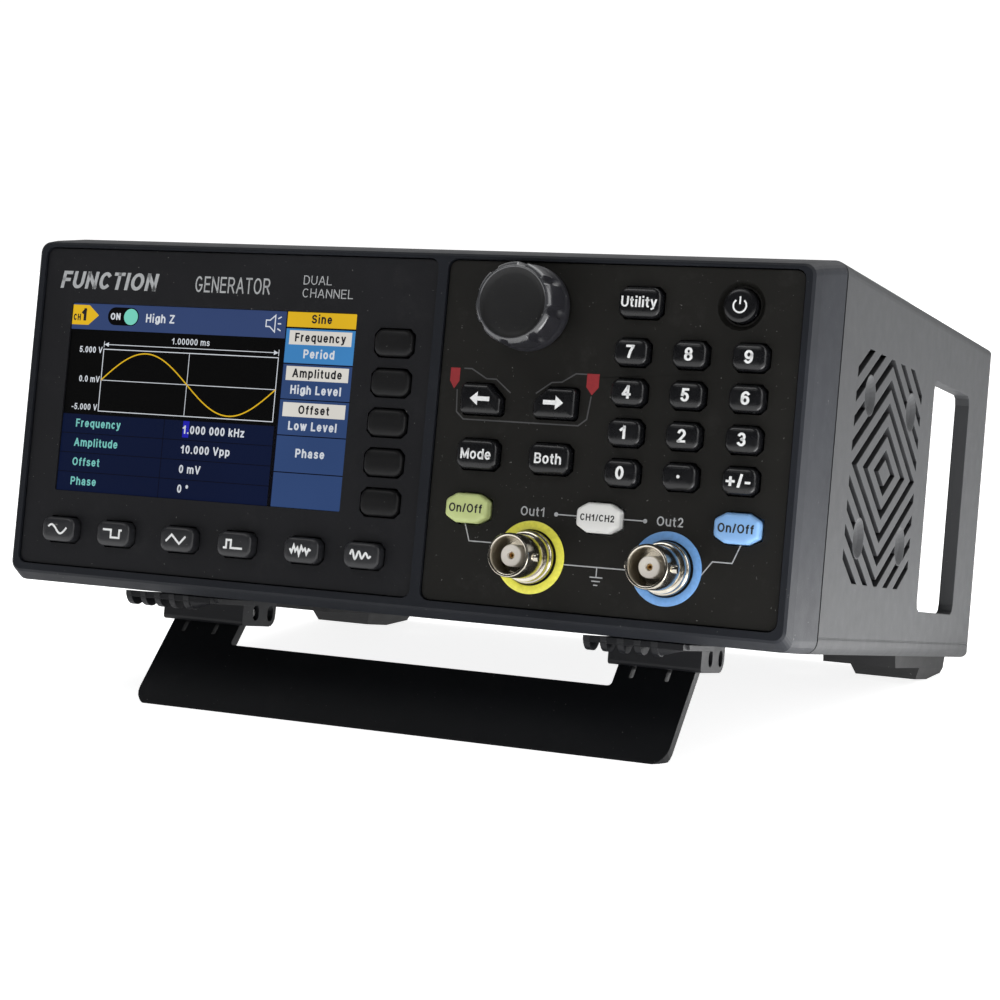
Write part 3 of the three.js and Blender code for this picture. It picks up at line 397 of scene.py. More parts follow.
class Nodes:
    """The node tree of a material or world, with short calls that add and join nodes."""

    def __init__(self, owner, shader):
        self.owner = owner
        owner.use_nodes = True
        self.tree = owner.node_tree
        self.shader = self.tree.nodes[shader]
        self.place = self.add("TexCoord").outputs

    def add(self, kind, settings=None, **values):
        """A node; settings are its inputs whose names have spaces."""
        node = self.tree.nodes.new("ShaderNode" + kind)
        for key, value in {**values, **(settings or {})}.items():
            if key in node.inputs:
                self.feed(node.inputs[key], value)
            else:
                setattr(node, key, value)
        return node

    def feed(self, socket, value):
        """Gives a socket a colour, a number or another node's output."""
        if isinstance(value, bpy.types.NodeSocket):
            self.tree.links.new(value, socket)
        else:
            socket.default_value = (*value, 1) if isinstance(value, tuple) else value

    def set(self, name, value):
        """Feeds an input of the shader."""
        self.feed(self.shader.inputs[name], value)

    def noise(self, size, detail=3.0, roughness=0.55):
        """Noise with features of about that size, in millimetres."""
        look = {"Scale": 1000 / size, "Detail": detail, "Roughness": roughness}
        return self.add("TexNoise", look, Vector=self.place["Object"]).outputs["Fac"]

    def ramp(self, value, low, high, start=0.0, end=1.0):
        """Maps low..high to start..end, and holds it there."""
        limits = {"From Min": low, "From Max": high, "To Min": start, "To Max": end}
        return self.add("MapRange", limits, Value=value).outputs["Result"]

    def mix(self, factor, first, second):
        """A colour between two colours or sockets."""
        node = self.add("Mix", data_type="RGBA", Factor=factor)
        self.feed(node.inputs[6], first)
        self.feed(node.inputs[7], second)
        return node.outputs[2]

    def bump(self, height, strength, depth):
        """Raises the surface by a value, up to a depth in millimetres."""
        node = self.add("Bump", Strength=strength, Distance=depth * MM, Height=height)
        self.set("Normal", node.outputs["Normal"])
        return node

    def darken_crevices(self, tone, reach):
        """Paints shade into a tone: darkens it inside slots and corners narrower than reach, in
        millimetres.
        """
        node = self.add("AmbientOcclusion", samples=6, Distance=reach * MM)
        open_to_light = self.ramp(node.outputs["AO"], 0.35, 0.9)
        return self.mix(open_to_light, PAINTED_CREVICE_SHADE, tone)

    def round_edges(self, bump, radius):
        """Rounds the edges under a bump in the shading only, by a radius in millimetres."""
        node = self.add("Bevel", samples=4, Radius=radius * MM)
        self.feed(bump.inputs["Normal"], node.outputs["Normal"])


def material_nodes(name):
    return Nodes(bpy.data.materials.new(name), "Principled BSDF")


def scaled(color, factor):
    """A lighter or darker colour."""
    return tuple(min(1.0, channel * factor) for channel in color)


def plastic(
    name, color, roughness=0.5, shine=0.5, grain=0.35, depth=0.03, mottle=0.12, dust=0, edge=0, crevice=0
):
    """Moulded plastic: fine grain, an uneven tone and sheen, pale dust, rounded edges, and painted shade
    in its crevices.
    """
    nodes = material_nodes(name)
    nodes.set("Specular IOR Level", shine)
    cloud = nodes.ramp(nodes.noise(28, 4), 0.35, 0.65)
    tone = nodes.mix(cloud, scaled(color, 1 - mottle), scaled(color, 1 + mottle))
    if dust:
        speck = nodes.ramp(nodes.noise(0.75, 2), 0.73, 0.79, 0, dust)
        tone = nodes.mix(speck, tone, DUST_TONE)
        smear = nodes.ramp(nodes.noise(9, 6, 0.75), 0.55, 0.8, 0, dust * 0.06)
        tone = nodes.mix(smear, tone, SMEAR_TONE)
    # Painted shade: the colour darkens in slots and corners that ambient occlusion finds
    if crevice:
        tone = nodes.darken_crevices(tone, crevice)
    nodes.set("Base Color", tone)
    sheen = nodes.ramp(nodes.noise(4, 5), 0.3, 0.7, roughness - 0.03, roughness + 0.04)
    nodes.set("Roughness", sheen)
    bump = nodes.bump(nodes.noise(grain, 2), 0.5, depth)
    if edge:
        nodes.round_edges(bump, edge)
    return nodes.owner


def metal(name, color, roughness=0.22, stain=0.2, scratch=0.02):
    """Plated metal: faint stains and fine turning marks."""
    nodes = material_nodes(name)
    cloud = nodes.ramp(nodes.noise(2.5, 5), 0.3, 0.7)
    tone = nodes.mix(cloud, scaled(color, 1 - stain), color)
    nodes.set("Base Color", tone)
    nodes.set("Metallic", 1)
    sheen = nodes.ramp(nodes.noise(1.2, 4), 0.3, 0.7, roughness * 0.7, roughness * 1.4)
    nodes.set("Roughness", sheen)
    nodes.bump(nodes.noise(0.3, 2), 0.3, scratch)
    return nodes.owner


def ink(name, color, roughness=0.5):
    """Printed ink or an insert: slightly uneven in tone."""
    nodes = material_nodes(name)
    worn = nodes.ramp(nodes.noise(0.8, 3), 0.35, 0.65)
    tone = nodes.mix(worn, scaled(color, 0.88), color)
    nodes.set("Base Color", tone)
    nodes.set("Roughness", roughness)
    nodes.bump(nodes.noise(0.4, 2), 0.2, 0.01)
    return nodes.owner


def glow(name, color, strength):
    """Part of the lit picture on the display, with faint unevenness of the backlight."""
    nodes = material_nodes(name)
    light = nodes.ramp(nodes.noise(30, 2), 0.3, 0.7)
    tone = nodes.mix(light, scaled(color, 0.92), scaled(color, 1.05))
    nodes.set("Emission Color", tone)
    nodes.set("Emission Strength", strength)
    nodes.set("Base Color", (0.002, 0.002, 0.002))
    nodes.set("Roughness", 0.4)
    nodes.set("Specular IOR Level", 0.06)
    return nodes.owner


# The case's colour has painted shade in its vent slots and dimples
CASE_LOOK = {"mottle": 0.03, "dust": 0.12, "edge": 0.35, "crevice": 4}
CASE_PLASTIC = plastic("case_plastic", (0.043, 0.044, 0.046), 0.6, 0.1, **CASE_LOOK)
BEZEL_PLASTIC = plastic("bezel_plastic", (0.012, 0.0135, 0.0175), 0.5, 0.14, dust=0.25, edge=0.15)
DISPLAY_PLASTIC = plastic("display_panel_plastic", (0.0085, 0.0087, 0.0105), 0.5, 0.2, dust=0.35)
KEYPAD_PLASTIC = plastic("keypad_panel_plastic", (0.0088, 0.0084, 0.0072), 0.5, 0.2, dust=0.5)
KEY_BLACK = plastic("key_black", (0.004, 0.0042, 0.0052), 0.27, 0.45, depth=0.012, dust=0.2)
KEY_MATT = plastic("key_matt_black", (0.0035, 0.0035, 0.004), 0.45, 0.25, depth=0.02, dust=0.25)
KEY_GREY = plastic("key_grey", (0.016, 0.0165, 0.019), 0.36, 0.5, grain=0.25, depth=0.05, dust=0.4)
KEY_GREEN = plastic("key_green", (0.52, 0.6, 0.25), 0.4, depth=0.01, mottle=0.05)
KEY_WHITE = plastic("key_white", (0.78, 0.78, 0.76), 0.4, depth=0.01, mottle=0.03)
KEY_BLUE = plastic("key_blue", (0.22, 0.42, 0.74), 0.4, depth=0.01, mottle=0.05)
KNOB_PLASTIC = plastic("knob_plastic", (0.018, 0.018, 0.022), 0.33, 0.6, depth=0.02, dust=0.7)
KNOB_RIM = plastic("knob_rim", (0.045, 0.046, 0.05), 0.2, 0.9, depth=0.01, dust=0.3)
KNOB_FACE = plastic("knob_face", (0.005, 0.005, 0.0055), 0.5, 0.35, depth=0.02, dust=0.25)
FOOT_PLASTIC = plastic("foot_plastic", (0.0095, 0.01, 0.012), 0.45, 0.25, dust=0.3, edge=0.3)
STAND_PLASTIC = plastic("stand_plastic", (0.0062, 0.0068, 0.0082), 0.42, 0.2, dust=0.25, edge=0.4)
FOOT_RUBBER = plastic("foot_rubber", (0.012, 0.012, 0.013), 0.75, grain=0.5, depth=0.05, dust=0.5)
# Near-black, put as painted shade where a gap or opening would show only shade
GAP_SHADE = plastic("painted_gap_shade", (0.004, 0.004, 0.004), 0.8)
BOARD = plastic("circuit_board", (0.012, 0.1, 0.045), 0.4, depth=0.02)
MEMBRANE = plastic("membrane_rubber", (0.2, 0.2, 0.21), 0.7)
REAR_SHEET = plastic("rear_sheet", (0.09, 0.092, 0.095), 0.5, grain=0.6, depth=0.04, dust=0.3)
BLACK_PLASTIC = plastic("moulded_black", (0.01, 0.01, 0.011), 0.45, dust=0.2, edge=0.3)
INSULATOR = plastic("socket_insulator", (0.72, 0.68, 0.62), 0.5, depth=0.01, mottle=0.06)
NICKEL = metal("nickel", (0.62, 0.58, 0.5), 0.16)
GOLD = metal("contact_gold", (0.75, 0.5, 0.2), 0.3)
STEEL = metal("plated_steel", (0.55, 0.55, 0.55), 0.3)
WHITE_INK = ink("white_ink", (0.85, 0.86, 0.86))
GREY_INK = ink("grey_ink", (0.42, 0.43, 0.44))
FAINT_INK = ink("faint_grey_ink", (0.062, 0.062, 0.064))
RED_INK = ink("red_ink", (0.3, 0.015, 0.02))
BLACK_INK = ink("black_ink", (0.012, 0.012, 0.012))
YELLOW_RING = ink("yellow_ring", (0.9, 0.86, 0.1), 0.35)
BLUE_RING = ink("blue_ring", (0.16, 0.36, 0.72), 0.35)


# ---- Keys ----

FLANGE_REACH = 0.8  # how far a key's hidden flange reaches past its cap
FLANGE_DEPTH = 1.0
ARROW_SLANT = 3.2  # size of the cut corner of an arrow key


def key_corners(kind, w, h):
    """A cap's outline before its corners are rounded."""
    if kind == "barrel":
        shoulder, crown = 0.55 * h, 0.5 * w
        half = [(w, -shoulder), (w, shoulder), (crown, h)]
        return half + [(-crown, h), (-w, shoulder), (-w, -shoulder), (-crown, -h), (crown, -h)]
    cut = ARROW_SLANT
    if kind == "left_arrow":
        return [(-w, -h), (w, -h), (w, h - cut), (w - cut, h), (-w, h)]
    if kind == "right_arrow":
        return [(-w, -h), (w, -h), (w, h), (-w + cut, h), (-w, h - cut)]
    return rectangle(-w, w, -h, h)


def cap(name, kind, material, corner, edge, fall):
    """A key cap over its CAD solid: a softly domed face, a rounded edge and a hidden flange.

    Returns the place for a sign on its face.
    """
    low, high, x, z = case_place(name)
    w, h = (high.x - low.x) / 2 - FLANGE_REACH, (high.z - low.z) / 2 - FLANGE_REACH
    steps = 6
    layers = [(0.8 * min(w, h), 0.0), (0.45 * min(w, h), 0.01), (1.15 * edge, 0.05)]
    for i in range(steps + 1):
        angle = math.pi / 2 * i / steps
        layers.append((edge * (1 - math.sin(angle)), 0.08 + fall * (1 - math.cos(angle))))
    flange_front = high.y - FLANGE_DEPTH
    layers += [(0.0, flange_front - low.y), (-FLANGE_REACH, flange_front - low.y)]
    layers.append((-FLANGE_REACH, high.y - low.y))
    rings = []
    for amount, depth in layers:
        corners = inset(key_corners(kind, w, h), amount)
        radius = max(0.12, corner - amount) if amount > 0 else corner
        outline = rounded(corners, min(radius, 0.9 * (h - amount)))
        rings += slices(moved(outline, x, z), (low.y + depth,))
    piece(name + "_cap", *skin(rings), material, body=name, replaces=[name])
    return Vector((x, low.y - PRINT_GAP, z))


def mark(key, outlines, at, material=WHITE_INK):
    """A printed sign on a key."""
    return flat(key + "_sign", [moved(o, at.x, at.z) for o in outlines], at.y, material, body=key)


def legend(key, text, at, height, material=WHITE_INK, **look):
    """Printed characters in the middle of a key."""
    base = at.z - height / 2
    return lettering(key + "_legend", text, at.x, at.y, base, height, material, body=key, **look)


def wave(function, half_width=2.6, steps=40):
    """A line across a key that follows function, which takes -1 to 1."""
    ts = [2 * i / steps - 1 for i in range(steps + 1)]
    return [(half_width * t, function(t)) for t in ts]


def wave_signs():
    """The line drawn on each waveform key."""
    jitter = [0.2, -0.6, 0.9, -0.3, 0.5, -1.0, 0.8, -0.1, 0.4, -0.8, 0.3, 0.0]
    noise = [(-2.7 + 5.4 * i / 11, value) for i, value in enumerate(jitter)]
    return {
        "sine_key": wave(lambda t: -math.sin(math.pi * (t + 0.15))),
        "square_key": [(-2.6, 0.9), (-0.3, 0.9), (-0.3, -0.9), (2.0, -0.9), (2.0, 0.9), (2.7, 0.9)],
        "ramp_key": [(-2.7, -0.6), (-1.2, 1.0), (1.0, -1.0), (2.6, 0.8)],
        "pulse_key": [(-2.6, -0.9), (-1.8, -0.9), (-1.8, 0.9), (-0.6, 0.9), (-0.6, -0.9), (2.5, -0.9)],
        "noise_key": noise,
        "arbitrary_key": wave(lambda t: math.sin(3 * math.pi * (t + 1)) * (0.75 - 0.35 * t)),
    }


def wave_keys():
    for key, line in wave_signs().items():
        at = cap(key, "plain", KEY_GREY, corner=2.0, edge=0.8, fall=0.8)
        mark(key, ribbon(line, 0.5), at)


def soft_keys():
    for i in range(1, 6):
        cap(f"soft_key_{i}", "plain", KEY_MATT, corner=2.2, edge=1.0, fall=0.9)


def digit_keys():
    signs = {f"digit_{n}_key": str(n) for n in range(10)}
    signs.update(point_key=".", sign_key="+/-")
    for key, text in signs.items():
        at = cap(key, "plain", KEY_BLACK, corner=2.0, edge=1.0, fall=1.1)
        if text == ".":
            mark(key, [circle(0.38, 16)], at)
        else:
            legend(key, text, at, 2.9, weight=0.18, stretch=1.2)


def arrow_outline(side):
    """An arrow that points to that side, as a head and a shaft."""
    head = [(side * 2.4, 0), (side * 0.5, 1.55), (side * 0.5, -1.55)]
    shaft = [(side * 0.6, -0.5), (side * 0.6, 0.5), (-side * 2.4, 0.5), (-side * 2.4, -0.5)]
    return [head, shaft]


def menu_keys():
    for key, kind, side in (("left_key", "left_arrow", -1), ("right_key", "right_arrow", 1)):
        at = cap(key, kind, KEY_BLACK, corner=1.0, edge=0.9, fall=1.0)
        mark(key, arrow_outline(side), at)
    for key, text in (("mode_key", "Mode"), ("both_key", "Both"), ("utility_key", "Utility")):
        at = cap(key, "plain", KEY_BLACK, corner=2.1, edge=1.0, fall=1.0)
        legend(key, text, at, 2.35, weight=0.165, gap=0.1, stretch=1.12)


def output_keys():
    for key, text, height, material in (
        ("channel_1_key", "On/Off", 1.95, KEY_GREEN),
        ("channel_select_key", "CH1/CH2", 1.5, KEY_WHITE),
        ("channel_2_key", "On/Off", 1.95, KEY_BLUE),
    ):
        at = cap(key, "barrel", material, corner=1.1, edge=0.9, fall=0.9)
        legend(key, text, at, height, BLACK_INK, weight=0.17, gap=0.13, stretch=1.1)


def power_button():
    """A round button with the usual sign for stand-by."""
    name = "power_button"
    low, high, x, z = case_place(name)
    radius = (high.x - low.x) / 2 - FLANGE_REACH
    top, flange = low.y, high.y - FLANGE_DEPTH
    profile = [(0.1, top + 0.05), (radius - 1.0, top), (radius - 0.5, top + 0.05)]
    profile += [(radius - 0.15, top + 0.25), (radius, top + 0.6), (radius, flange)]
    profile += [(radius + FLANGE_REACH, flange), (radius + FLANGE_REACH, high.y)]
    piece(name + "_cap", *turned(profile, x, z), KEY_BLACK, body=name, replaces=[name])
    gap, reach, drop = math.radians(38), 1.45, 0.1
    turn = [math.pi / 2 + gap + (TAU - 2 * gap) * i / 32 for i in range(33)]
    arc = [(reach * math.cos(a), reach * math.sin(a) - drop) for a in turn]
    at = Vector((x, top - PRINT_GAP, z))
    mark(name, ribbon(arc, 0.38) + [rectangle(-0.19, 0.19, 0.2, 1.9)], at)


# ---- Knob and sockets ----

KNOB_FLUTES = 8
FLUTE_RADIUS = 1.2
FLUTE_LINE = 9.45  # distance of a flute's line from the axis
FLUTE_FIRST = math.radians(-9)
FLUTE_END = 2.2  # the flutes end this far in front of the knob's back
FLUTE_RUN_OUT = 2.5  # and over this length before that they leave the axis, by RUN_OUT_SLOPE
RUN_OUT_SLOPE = 0.6
GRIP_FROM = 8.2  # only what lies outside this radius has flutes
FACE_REACH = 7.8  # the knob's matt face reaches this far, and its bright rim lies round it
FACE_DEPTH = 1.0


def knob_radius(radius, y, angle, flute_end):
    """A knob's radius at an angle, with its grip flutes cut into it."""
    if radius <= GRIP_FROM:
        return radius
    pitch = TAU / KNOB_FLUTES
    off = (angle - FLUTE_FIRST + pitch / 2) % pitch - pitch / 2
    line = FLUTE_LINE + max(0.0, y - flute_end + FLUTE_RUN_OUT) * RUN_OUT_SLOPE
    reach = line * math.sin(off)
    if abs(reach) >= FLUTE_RADIUS:
        return radius
    return min(radius, line * math.cos(off) - math.sqrt(FLUTE_RADIUS**2 - reach**2))


def knob():
    """The knob: a dished face, a bright rim, a fluted grip and a skirt."""
    low, high, x, z = case_place("knob")
    front, back = low.y, high.y
    wide = (high.x - low.x) / 2
    profile = [(0.1, 0.9), (3.5, 0.87), (6.3, 0.72), (7.2, 0.5), (7.75, 0.12), (7.95, 0.0)]
    profile += [(8.1, 0.02), (8.35, 0.1), (8.85, 0.7), (9.0, 0.9), (9.08, 1.2), (9.12, 1.8)]
    profile += [(9.14 + 0.02 * i, 2.4 + 0.55 * i) for i in range(10)]
    profile += [(wide - 0.12, 8.2), (wide, 8.4), (wide, back - front - 0.3)]
    profile += [(wide - 0.3, back - front), (6.2, back - front)]
    angles = [TAU * i / 240 for i in range(240)]
    rings = []
    for radius, depth in profile:
        y = front + depth
        radii = [knob_radius(radius, y, a, back - FLUTE_END) for a in angles]
        rings.append([(x + r * math.cos(a), y, z + r * math.sin(a)) for r, a in zip(radii, angles)])
    body = piece("knob_body", *skin(rings), KNOB_PLASTIC, body="knob", replaces=["knob"])
    body.data.materials.append(KNOB_FACE)
    body.data.materials.append(KNOB_RIM)
    for polygon in body.data.polygons:
        centre = CASE_INVERSE @ polygon.center
        if centre.y < front + FACE_DEPTH:
            on_face = math.hypot(centre.x - x, centre.z - z) < FACE_REACH
            polygon.material_index = 1 if on_face else 2


def socket(name, node, x, z, y, way):
    """A bayonet socket: a plated shell with two lugs, an insulator and a contact.

    Its base is at y, it points along Y by way, and each profile pairs a radius with the
    distance from the base.
    """
    shell = [(2.5, 3.6), (4.0, 3.6), (4.05, 3.9), (4.05, 11.5), (4.2, 11.8), (4.45, 11.9)]
    shell += [(4.7, 11.85), (4.85, 11.6), (4.85, 3.4), (4.7, 3.3), (4.7, 3.05), (5.2, 3.0)]
    shell += [(5.45, 2.9), (5.5, 2.7), (5.5, 1.4), (5.7, 1.3), (5.85, 1.1), (5.9, 0.8)]
    shell += [(5.9, 0.1), (5.0, 0.0)]
    insulator = [(0.75, 6.5), (0.75, 9.9), (0.95, 10.2), (2.2, 10.2), (2.4, 10.0), (2.45, 3.5)]
    contact = [(0.3, 6.0), (0.3, 9.4), (0.42, 9.6), (0.6, 9.6), (0.72, 9.4), (0.74, 6.0)]

    def at(profile):
        return [(radius, y + way * depth) for radius, depth in profile]

    first_only = (True, False)
    piece(name + "_shell", *turned(at(shell), x, z, 96, (False, True)), NICKEL, replaces=[node])
    piece(name + "_insulator", *turned(at(insulator), x, z, 48, first_only), INSULATOR)
    piece(name + "_contact", *turned(at(contact), x, z, 32, first_only), GOLD)
    lug, lug_depth = [(4.6, 0.95), (5.75, 0.95), (5.88, 0.88), (5.95, 0.7)], 8.4
    for side, sign in (("left", -1), ("right", 1)):
        rings = [
            [(x + sign * reach, y + way * lug_depth + py, z + pz) for py, pz in circle(radius, 24)]
            for reach, radius in lug
        ]
        piece(f"{name}_{side}_lug", *skin(rings), NICKEL)


def output_rings():
    """The coloured ring round each output, with a dark gap inside it."""
    face = PANEL_FACE - 0.02
    profile = [(6.2, face), (6.25, face - 0.2), (6.4, face - 0.25), (7.95, face - 0.25)]
    profile += [(8.08, face - 0.18), (8.1, face)]
    for name, x, material in (
        ("output_1_ring", SOCKET_X[0], YELLOW_RING),
        ("output_2_ring", SOCKET_X[1], BLUE_RING),
    ):
        piece(name, *turned(profile, x, SOCKET_Z, 128, (False, False)), material)


# ---- Printing on the keypad panel ----


def shield(x, z, half):
    """A small marker that comes to a point below."""
    return moved([(0, -2.35), (half, -0.6), (half, 2.35), (-half, 2.35), (-half, -0.6)], x, z)


def keypad_printing():
    """The markers and lines round the arrow keys, and the lines that join the outputs' keys."""
    y = PANEL_FACE - PRINT_GAP
    flat("arrow_markers", [shield(16.2, 54.5, 1.15), shield(49.5, 54.6, 1.45)], y, RED_INK)
    faint = [
        [(18.3, 56.8), (20.2, 56.8), (24.0, 54.7), (26.4, 54.7), (30.1, 51.8)],
        [(48.0, 56.8), (45.4, 56.8), (42.2, 54.8), (39.8, 54.6), (36.2, 52.0)],
        [(17.0, 52.0), (17.3, 47.0), (19.1, 45.4), (46.9, 45.4), (48.8, 46.9), (49.4, 52.0)],
    ]
    flat("arrow_outline", [p for line in faint for p in ribbon(line, 0.3)], y, FAINT_INK)
    left, right = SOCKET_X
    middle = (left + right) / 2
    level, ring_reach = 25.65, 8.0
    lines = [
        [(43.8, level), (49.0, level)],
        [(59.4, level), (64.4, level)],
        [(21.9, 22.1), (23.2, 18.3), (30.4, 18.3)],
        [(86.4, 22.1), (84.8, 18.1), (80.4, 18.1), (77.8, 14.6)],
        [(left + ring_reach, 14.8), (right - ring_reach, 14.8)],
        [(middle, 14.8), (middle, 12.7)],
        [(middle - 1.5, 12.6), (middle + 1.5, 12.6)],
        [(middle - 1.0, 11.75), (middle + 1.0, 11.75)],
        [(middle - 0.5, 10.9), (middle + 0.5, 10.9)],
    ]
    dots = [moved(circle(0.48, 20), x, level) for x in (43.6, 64.4)]
    patches = [p for line in lines for p in ribbon(line, 0.26)]
    flat("output_lines", patches + dots, y, GREY_INK)
    for name, text, x in (("output_1_name", "Out1", 38.0), ("output_2_name", "Out2", 70.1)):
        lettering(name, text, x, y, 24.9, 2.05, GREY_INK, weight=0.14, stretch=1.1)


TITLE = {"weight": 0.19, "gap": 0.12, "slant": 0.16, "stretch": 1.15}
SUBTITLE = {"weight": 0.12, "gap": 0.16, "stretch": 0.74}
CHANNELS = {"weight": 0.1, "gap": 0.16, "stretch": 1.15}


def display_printing():
    """Generic words above the display."""
    y = PANEL_FACE - PRINT_GAP
    lettering("title", "FUNCTION", -91.6, y, 71.5, 4.2, GREY_INK, align="LEFT", **TITLE)
    lettering("subtitle", "GENERATOR", -53.6, y, 71.7, 3.8, GREY_INK, align="LEFT", **SUBTITLE)
    for line, z in (("DUAL", 74.4), ("CHANNEL", 71.4)):
        lettering("channels_" + line, line, -24.6, y, z, 2.1, GREY_INK, align="LEFT", **CHANNELS)


# ---- Display ----
# Places on the screen are millimetres to the right of its left edge and down from its top.

UI_COLORS = {
    "black": (0.0002, 0.0002, 0.0004),
    "header": (0.04, 0.07, 0.19),
    "row": (0.003, 0.008, 0.038),
    "line": (0.001, 0.001, 0.006),
    "menu": (0.035, 0.075, 0.21),
    "active": (0.06, 0.27, 0.62),
    "yellow": (0.9, 0.55, 0.02),
    "paper": (0.85, 0.82, 0.76),
    "white": (0.8, 0.84, 0.9),
    "cyan": (0.22, 0.65, 0.6),
    "mint": (0.22, 0.75, 0.6),
    "cursor": (0.02, 0.02, 0.5),
    "dark": (0.02, 0.02, 0.025),
}
UI_DIM = 0.6  # brightness of the black areas
UI_LIT = 0.8
UI = {
    name: glow("ui_" + name, color, UI_DIM if name == "black" else UI_LIT)
    for name, color in UI_COLORS.items()
}
UI_LAYER = 0.02  # distance between one layer of the picture and the next
TEXT_LAYER = 4
UI_EDGE = 0.1  # where the picture starts, from the left and the top
UI_BOTTOM = 45.6
PLOT_SIDE_END = 59.2
MENU_LEFT, MENU_RIGHT = 59.5, 77.65
PLOT_LEFT, PLOT_RIGHT, PLOT_TOP, PLOT_BOTTOM = 9.9, 58.0, 11.0, 26.0
ROWS_RIGHT, ROWS_TOP = 58.5, 26.9


def on_screen(points):
    return [(SCREEN_LEFT + u, SCREEN_TOP - v) for u, v in points]


def patch(name, outlines, color, layer):
    """Coloured areas of the picture, in one of its layers."""
    y = SCREEN_FACE - layer * UI_LAYER
    return flat("ui_" + name, [on_screen(o) for o in outlines], y, UI[color])


def words(name, text, u, v, height, color, align="LEFT", weight=0.175, stretch=1.07):
    """Characters of the picture, in its top layer."""
    y = SCREEN_FACE - TEXT_LAYER * UI_LAYER
    x, z = SCREEN_LEFT + u, SCREEN_TOP - v
    look = {"align": align, "weight": weight, "stretch": stretch, "gap": 0.16}
    return lettering("ui_text_" + name, text, x, y, z, height, UI[color], **look)


def screen_header():
    """The line above the plot: the channel's tag, its switch, the load and a speaker sign."""
    patch("header", [rectangle(UI_EDGE, PLOT_SIDE_END, UI_EDGE, 6.4)], "header", 1)
    tag = [(UI_EDGE, 0.5), (4.7, 0.5), (7.6, 2.9), (4.8, 5.3), (UI_EDGE, 5.3)]
    patch("channel_tag", [tag], "yellow", 2)
    words("channel", "CH", 0.45, 4.3, 1.6, "dark", weight=0.22, stretch=0.85)
    words("channel_number", "1", 2.75, 4.3, 3.0, "dark", weight=0.24)
    pill = rounded(rectangle(10.2, 18.9, 0.75, 5.1), 2.1, 8)
    patch("switch", [pill], "black", 2)
    patch("switch_dot", [moved(circle(1.95, 40), 16.7, 2.95)], "mint", 3)
    words("switch_word", "ON", 11.0, 3.8, 1.65, "white", weight=0.2)
    words("load", "High Z", 21.0, 4.1, 2.05, "white")
    horn = [(53.9, 2.3), (54.9, 2.3), (56.3, 1.1), (56.3, 5.0), (54.9, 3.8), (53.9, 3.8)]
    waves = [[(57.0, v), (57.9, v + d)] for v, d in ((1.9, -0.5), (3.05, 0.0), (4.2, 0.5))]
    lines = ribbon(horn, 0.28, closed=True) + [p for line in waves for p in ribbon(line, 0.3)]
    patch("speaker", lines, "white", 2)


def screen_plot():
    """One cycle of a sine in a frame, with its scale and its span."""
    left, right, top, bottom = PLOT_LEFT, PLOT_RIGHT, PLOT_TOP, PLOT_BOTTOM
    middle, level, span = (left + right) / 2, (top + bottom) / 2, 9.85
    patch("plot", [rectangle(UI_EDGE, PLOT_SIDE_END, 6.5, 26.8)], "black", 1)
    border = [(left, top), (right, top), (right, bottom), (left, bottom)]
    lines = ribbon(border, 0.2, closed=True)
    for line in (
        [(middle, top), (middle, bottom)],
        [(left, level), (right, level)],
        [(left, span), (right, span)],
        [(left, span - 0.75), (left, span + 0.75)],
        [(right, span - 0.75), (right, span + 0.75)],
    ):
        lines += ribbon(line, 0.16)
    for end, sign in ((left, 1), (right, -1)):
        tip, barb = end + sign * 0.15, end + sign * 1.3
        lines.append([(tip, span), (barb, span - 0.55), (barb, span + 0.55)])
    patch("plot_lines", lines, "white", 2)
    reach, steps = (bottom - top) / 2 - 0.65, 72
    turns = [i / steps for i in range(steps + 1)]
    curve = [(left + (right - left) * t, level - reach * math.sin(TAU * t)) for t in turns]
    patch("plot_curve", ribbon(curve, 0.3), "yellow", 3)
    words("span", "1.00000 ms", 34.0, 9.05, 1.5, "white", align="CENTER", weight=0.14)
    for name, text, v in (("high", "5.000 V", 12.0), ("zero", "0.0 mV", 19.1), ("low", "-5.000 V", 25.9)):
        words("scale_" + name, text, 9.5, v, 1.5, "white", align="RIGHT", weight=0.16, stretch=1.0)


def screen_rows():
    """The table under the plot: a name and a value in each row."""
    rows = (
        ("frequency", "Frequency", "1.000 000 kHz"),
        ("amplitude", "Amplitude", "10.000 Vpp"),
        ("offset", "Offset", "0 mV"),
        ("phase", "Phase", "0 °"),
    )
    first, pitch, half_rule, name_left, value_left = 26.95, 4.68, 0.08, 4.0, 34.0
    patch("rows", [rectangle(UI_EDGE, ROWS_RIGHT, ROWS_TOP, UI_BOTTOM)], "row", 1)
    levels = [first + pitch * i for i in range(5)]
    rules = [rectangle(UI_EDGE, ROWS_RIGHT, v - half_rule, v + half_rule) for v in levels]
    rules.append(rectangle(28.7, 28.86, first, UI_BOTTOM))
    patch("row_rules", rules, "line", 2)
    patch("cursor", [rectangle(value_left, 35.7, 27.1, 31.0)], "cursor", 2)
    for level, (name, label, value) in zip(levels, rows):
        v = level + 3.15
        words(name + "_name", label, name_left, v, 1.95, "cyan")
        words(name + "_value", value, value_left, v, 1.95, "white")


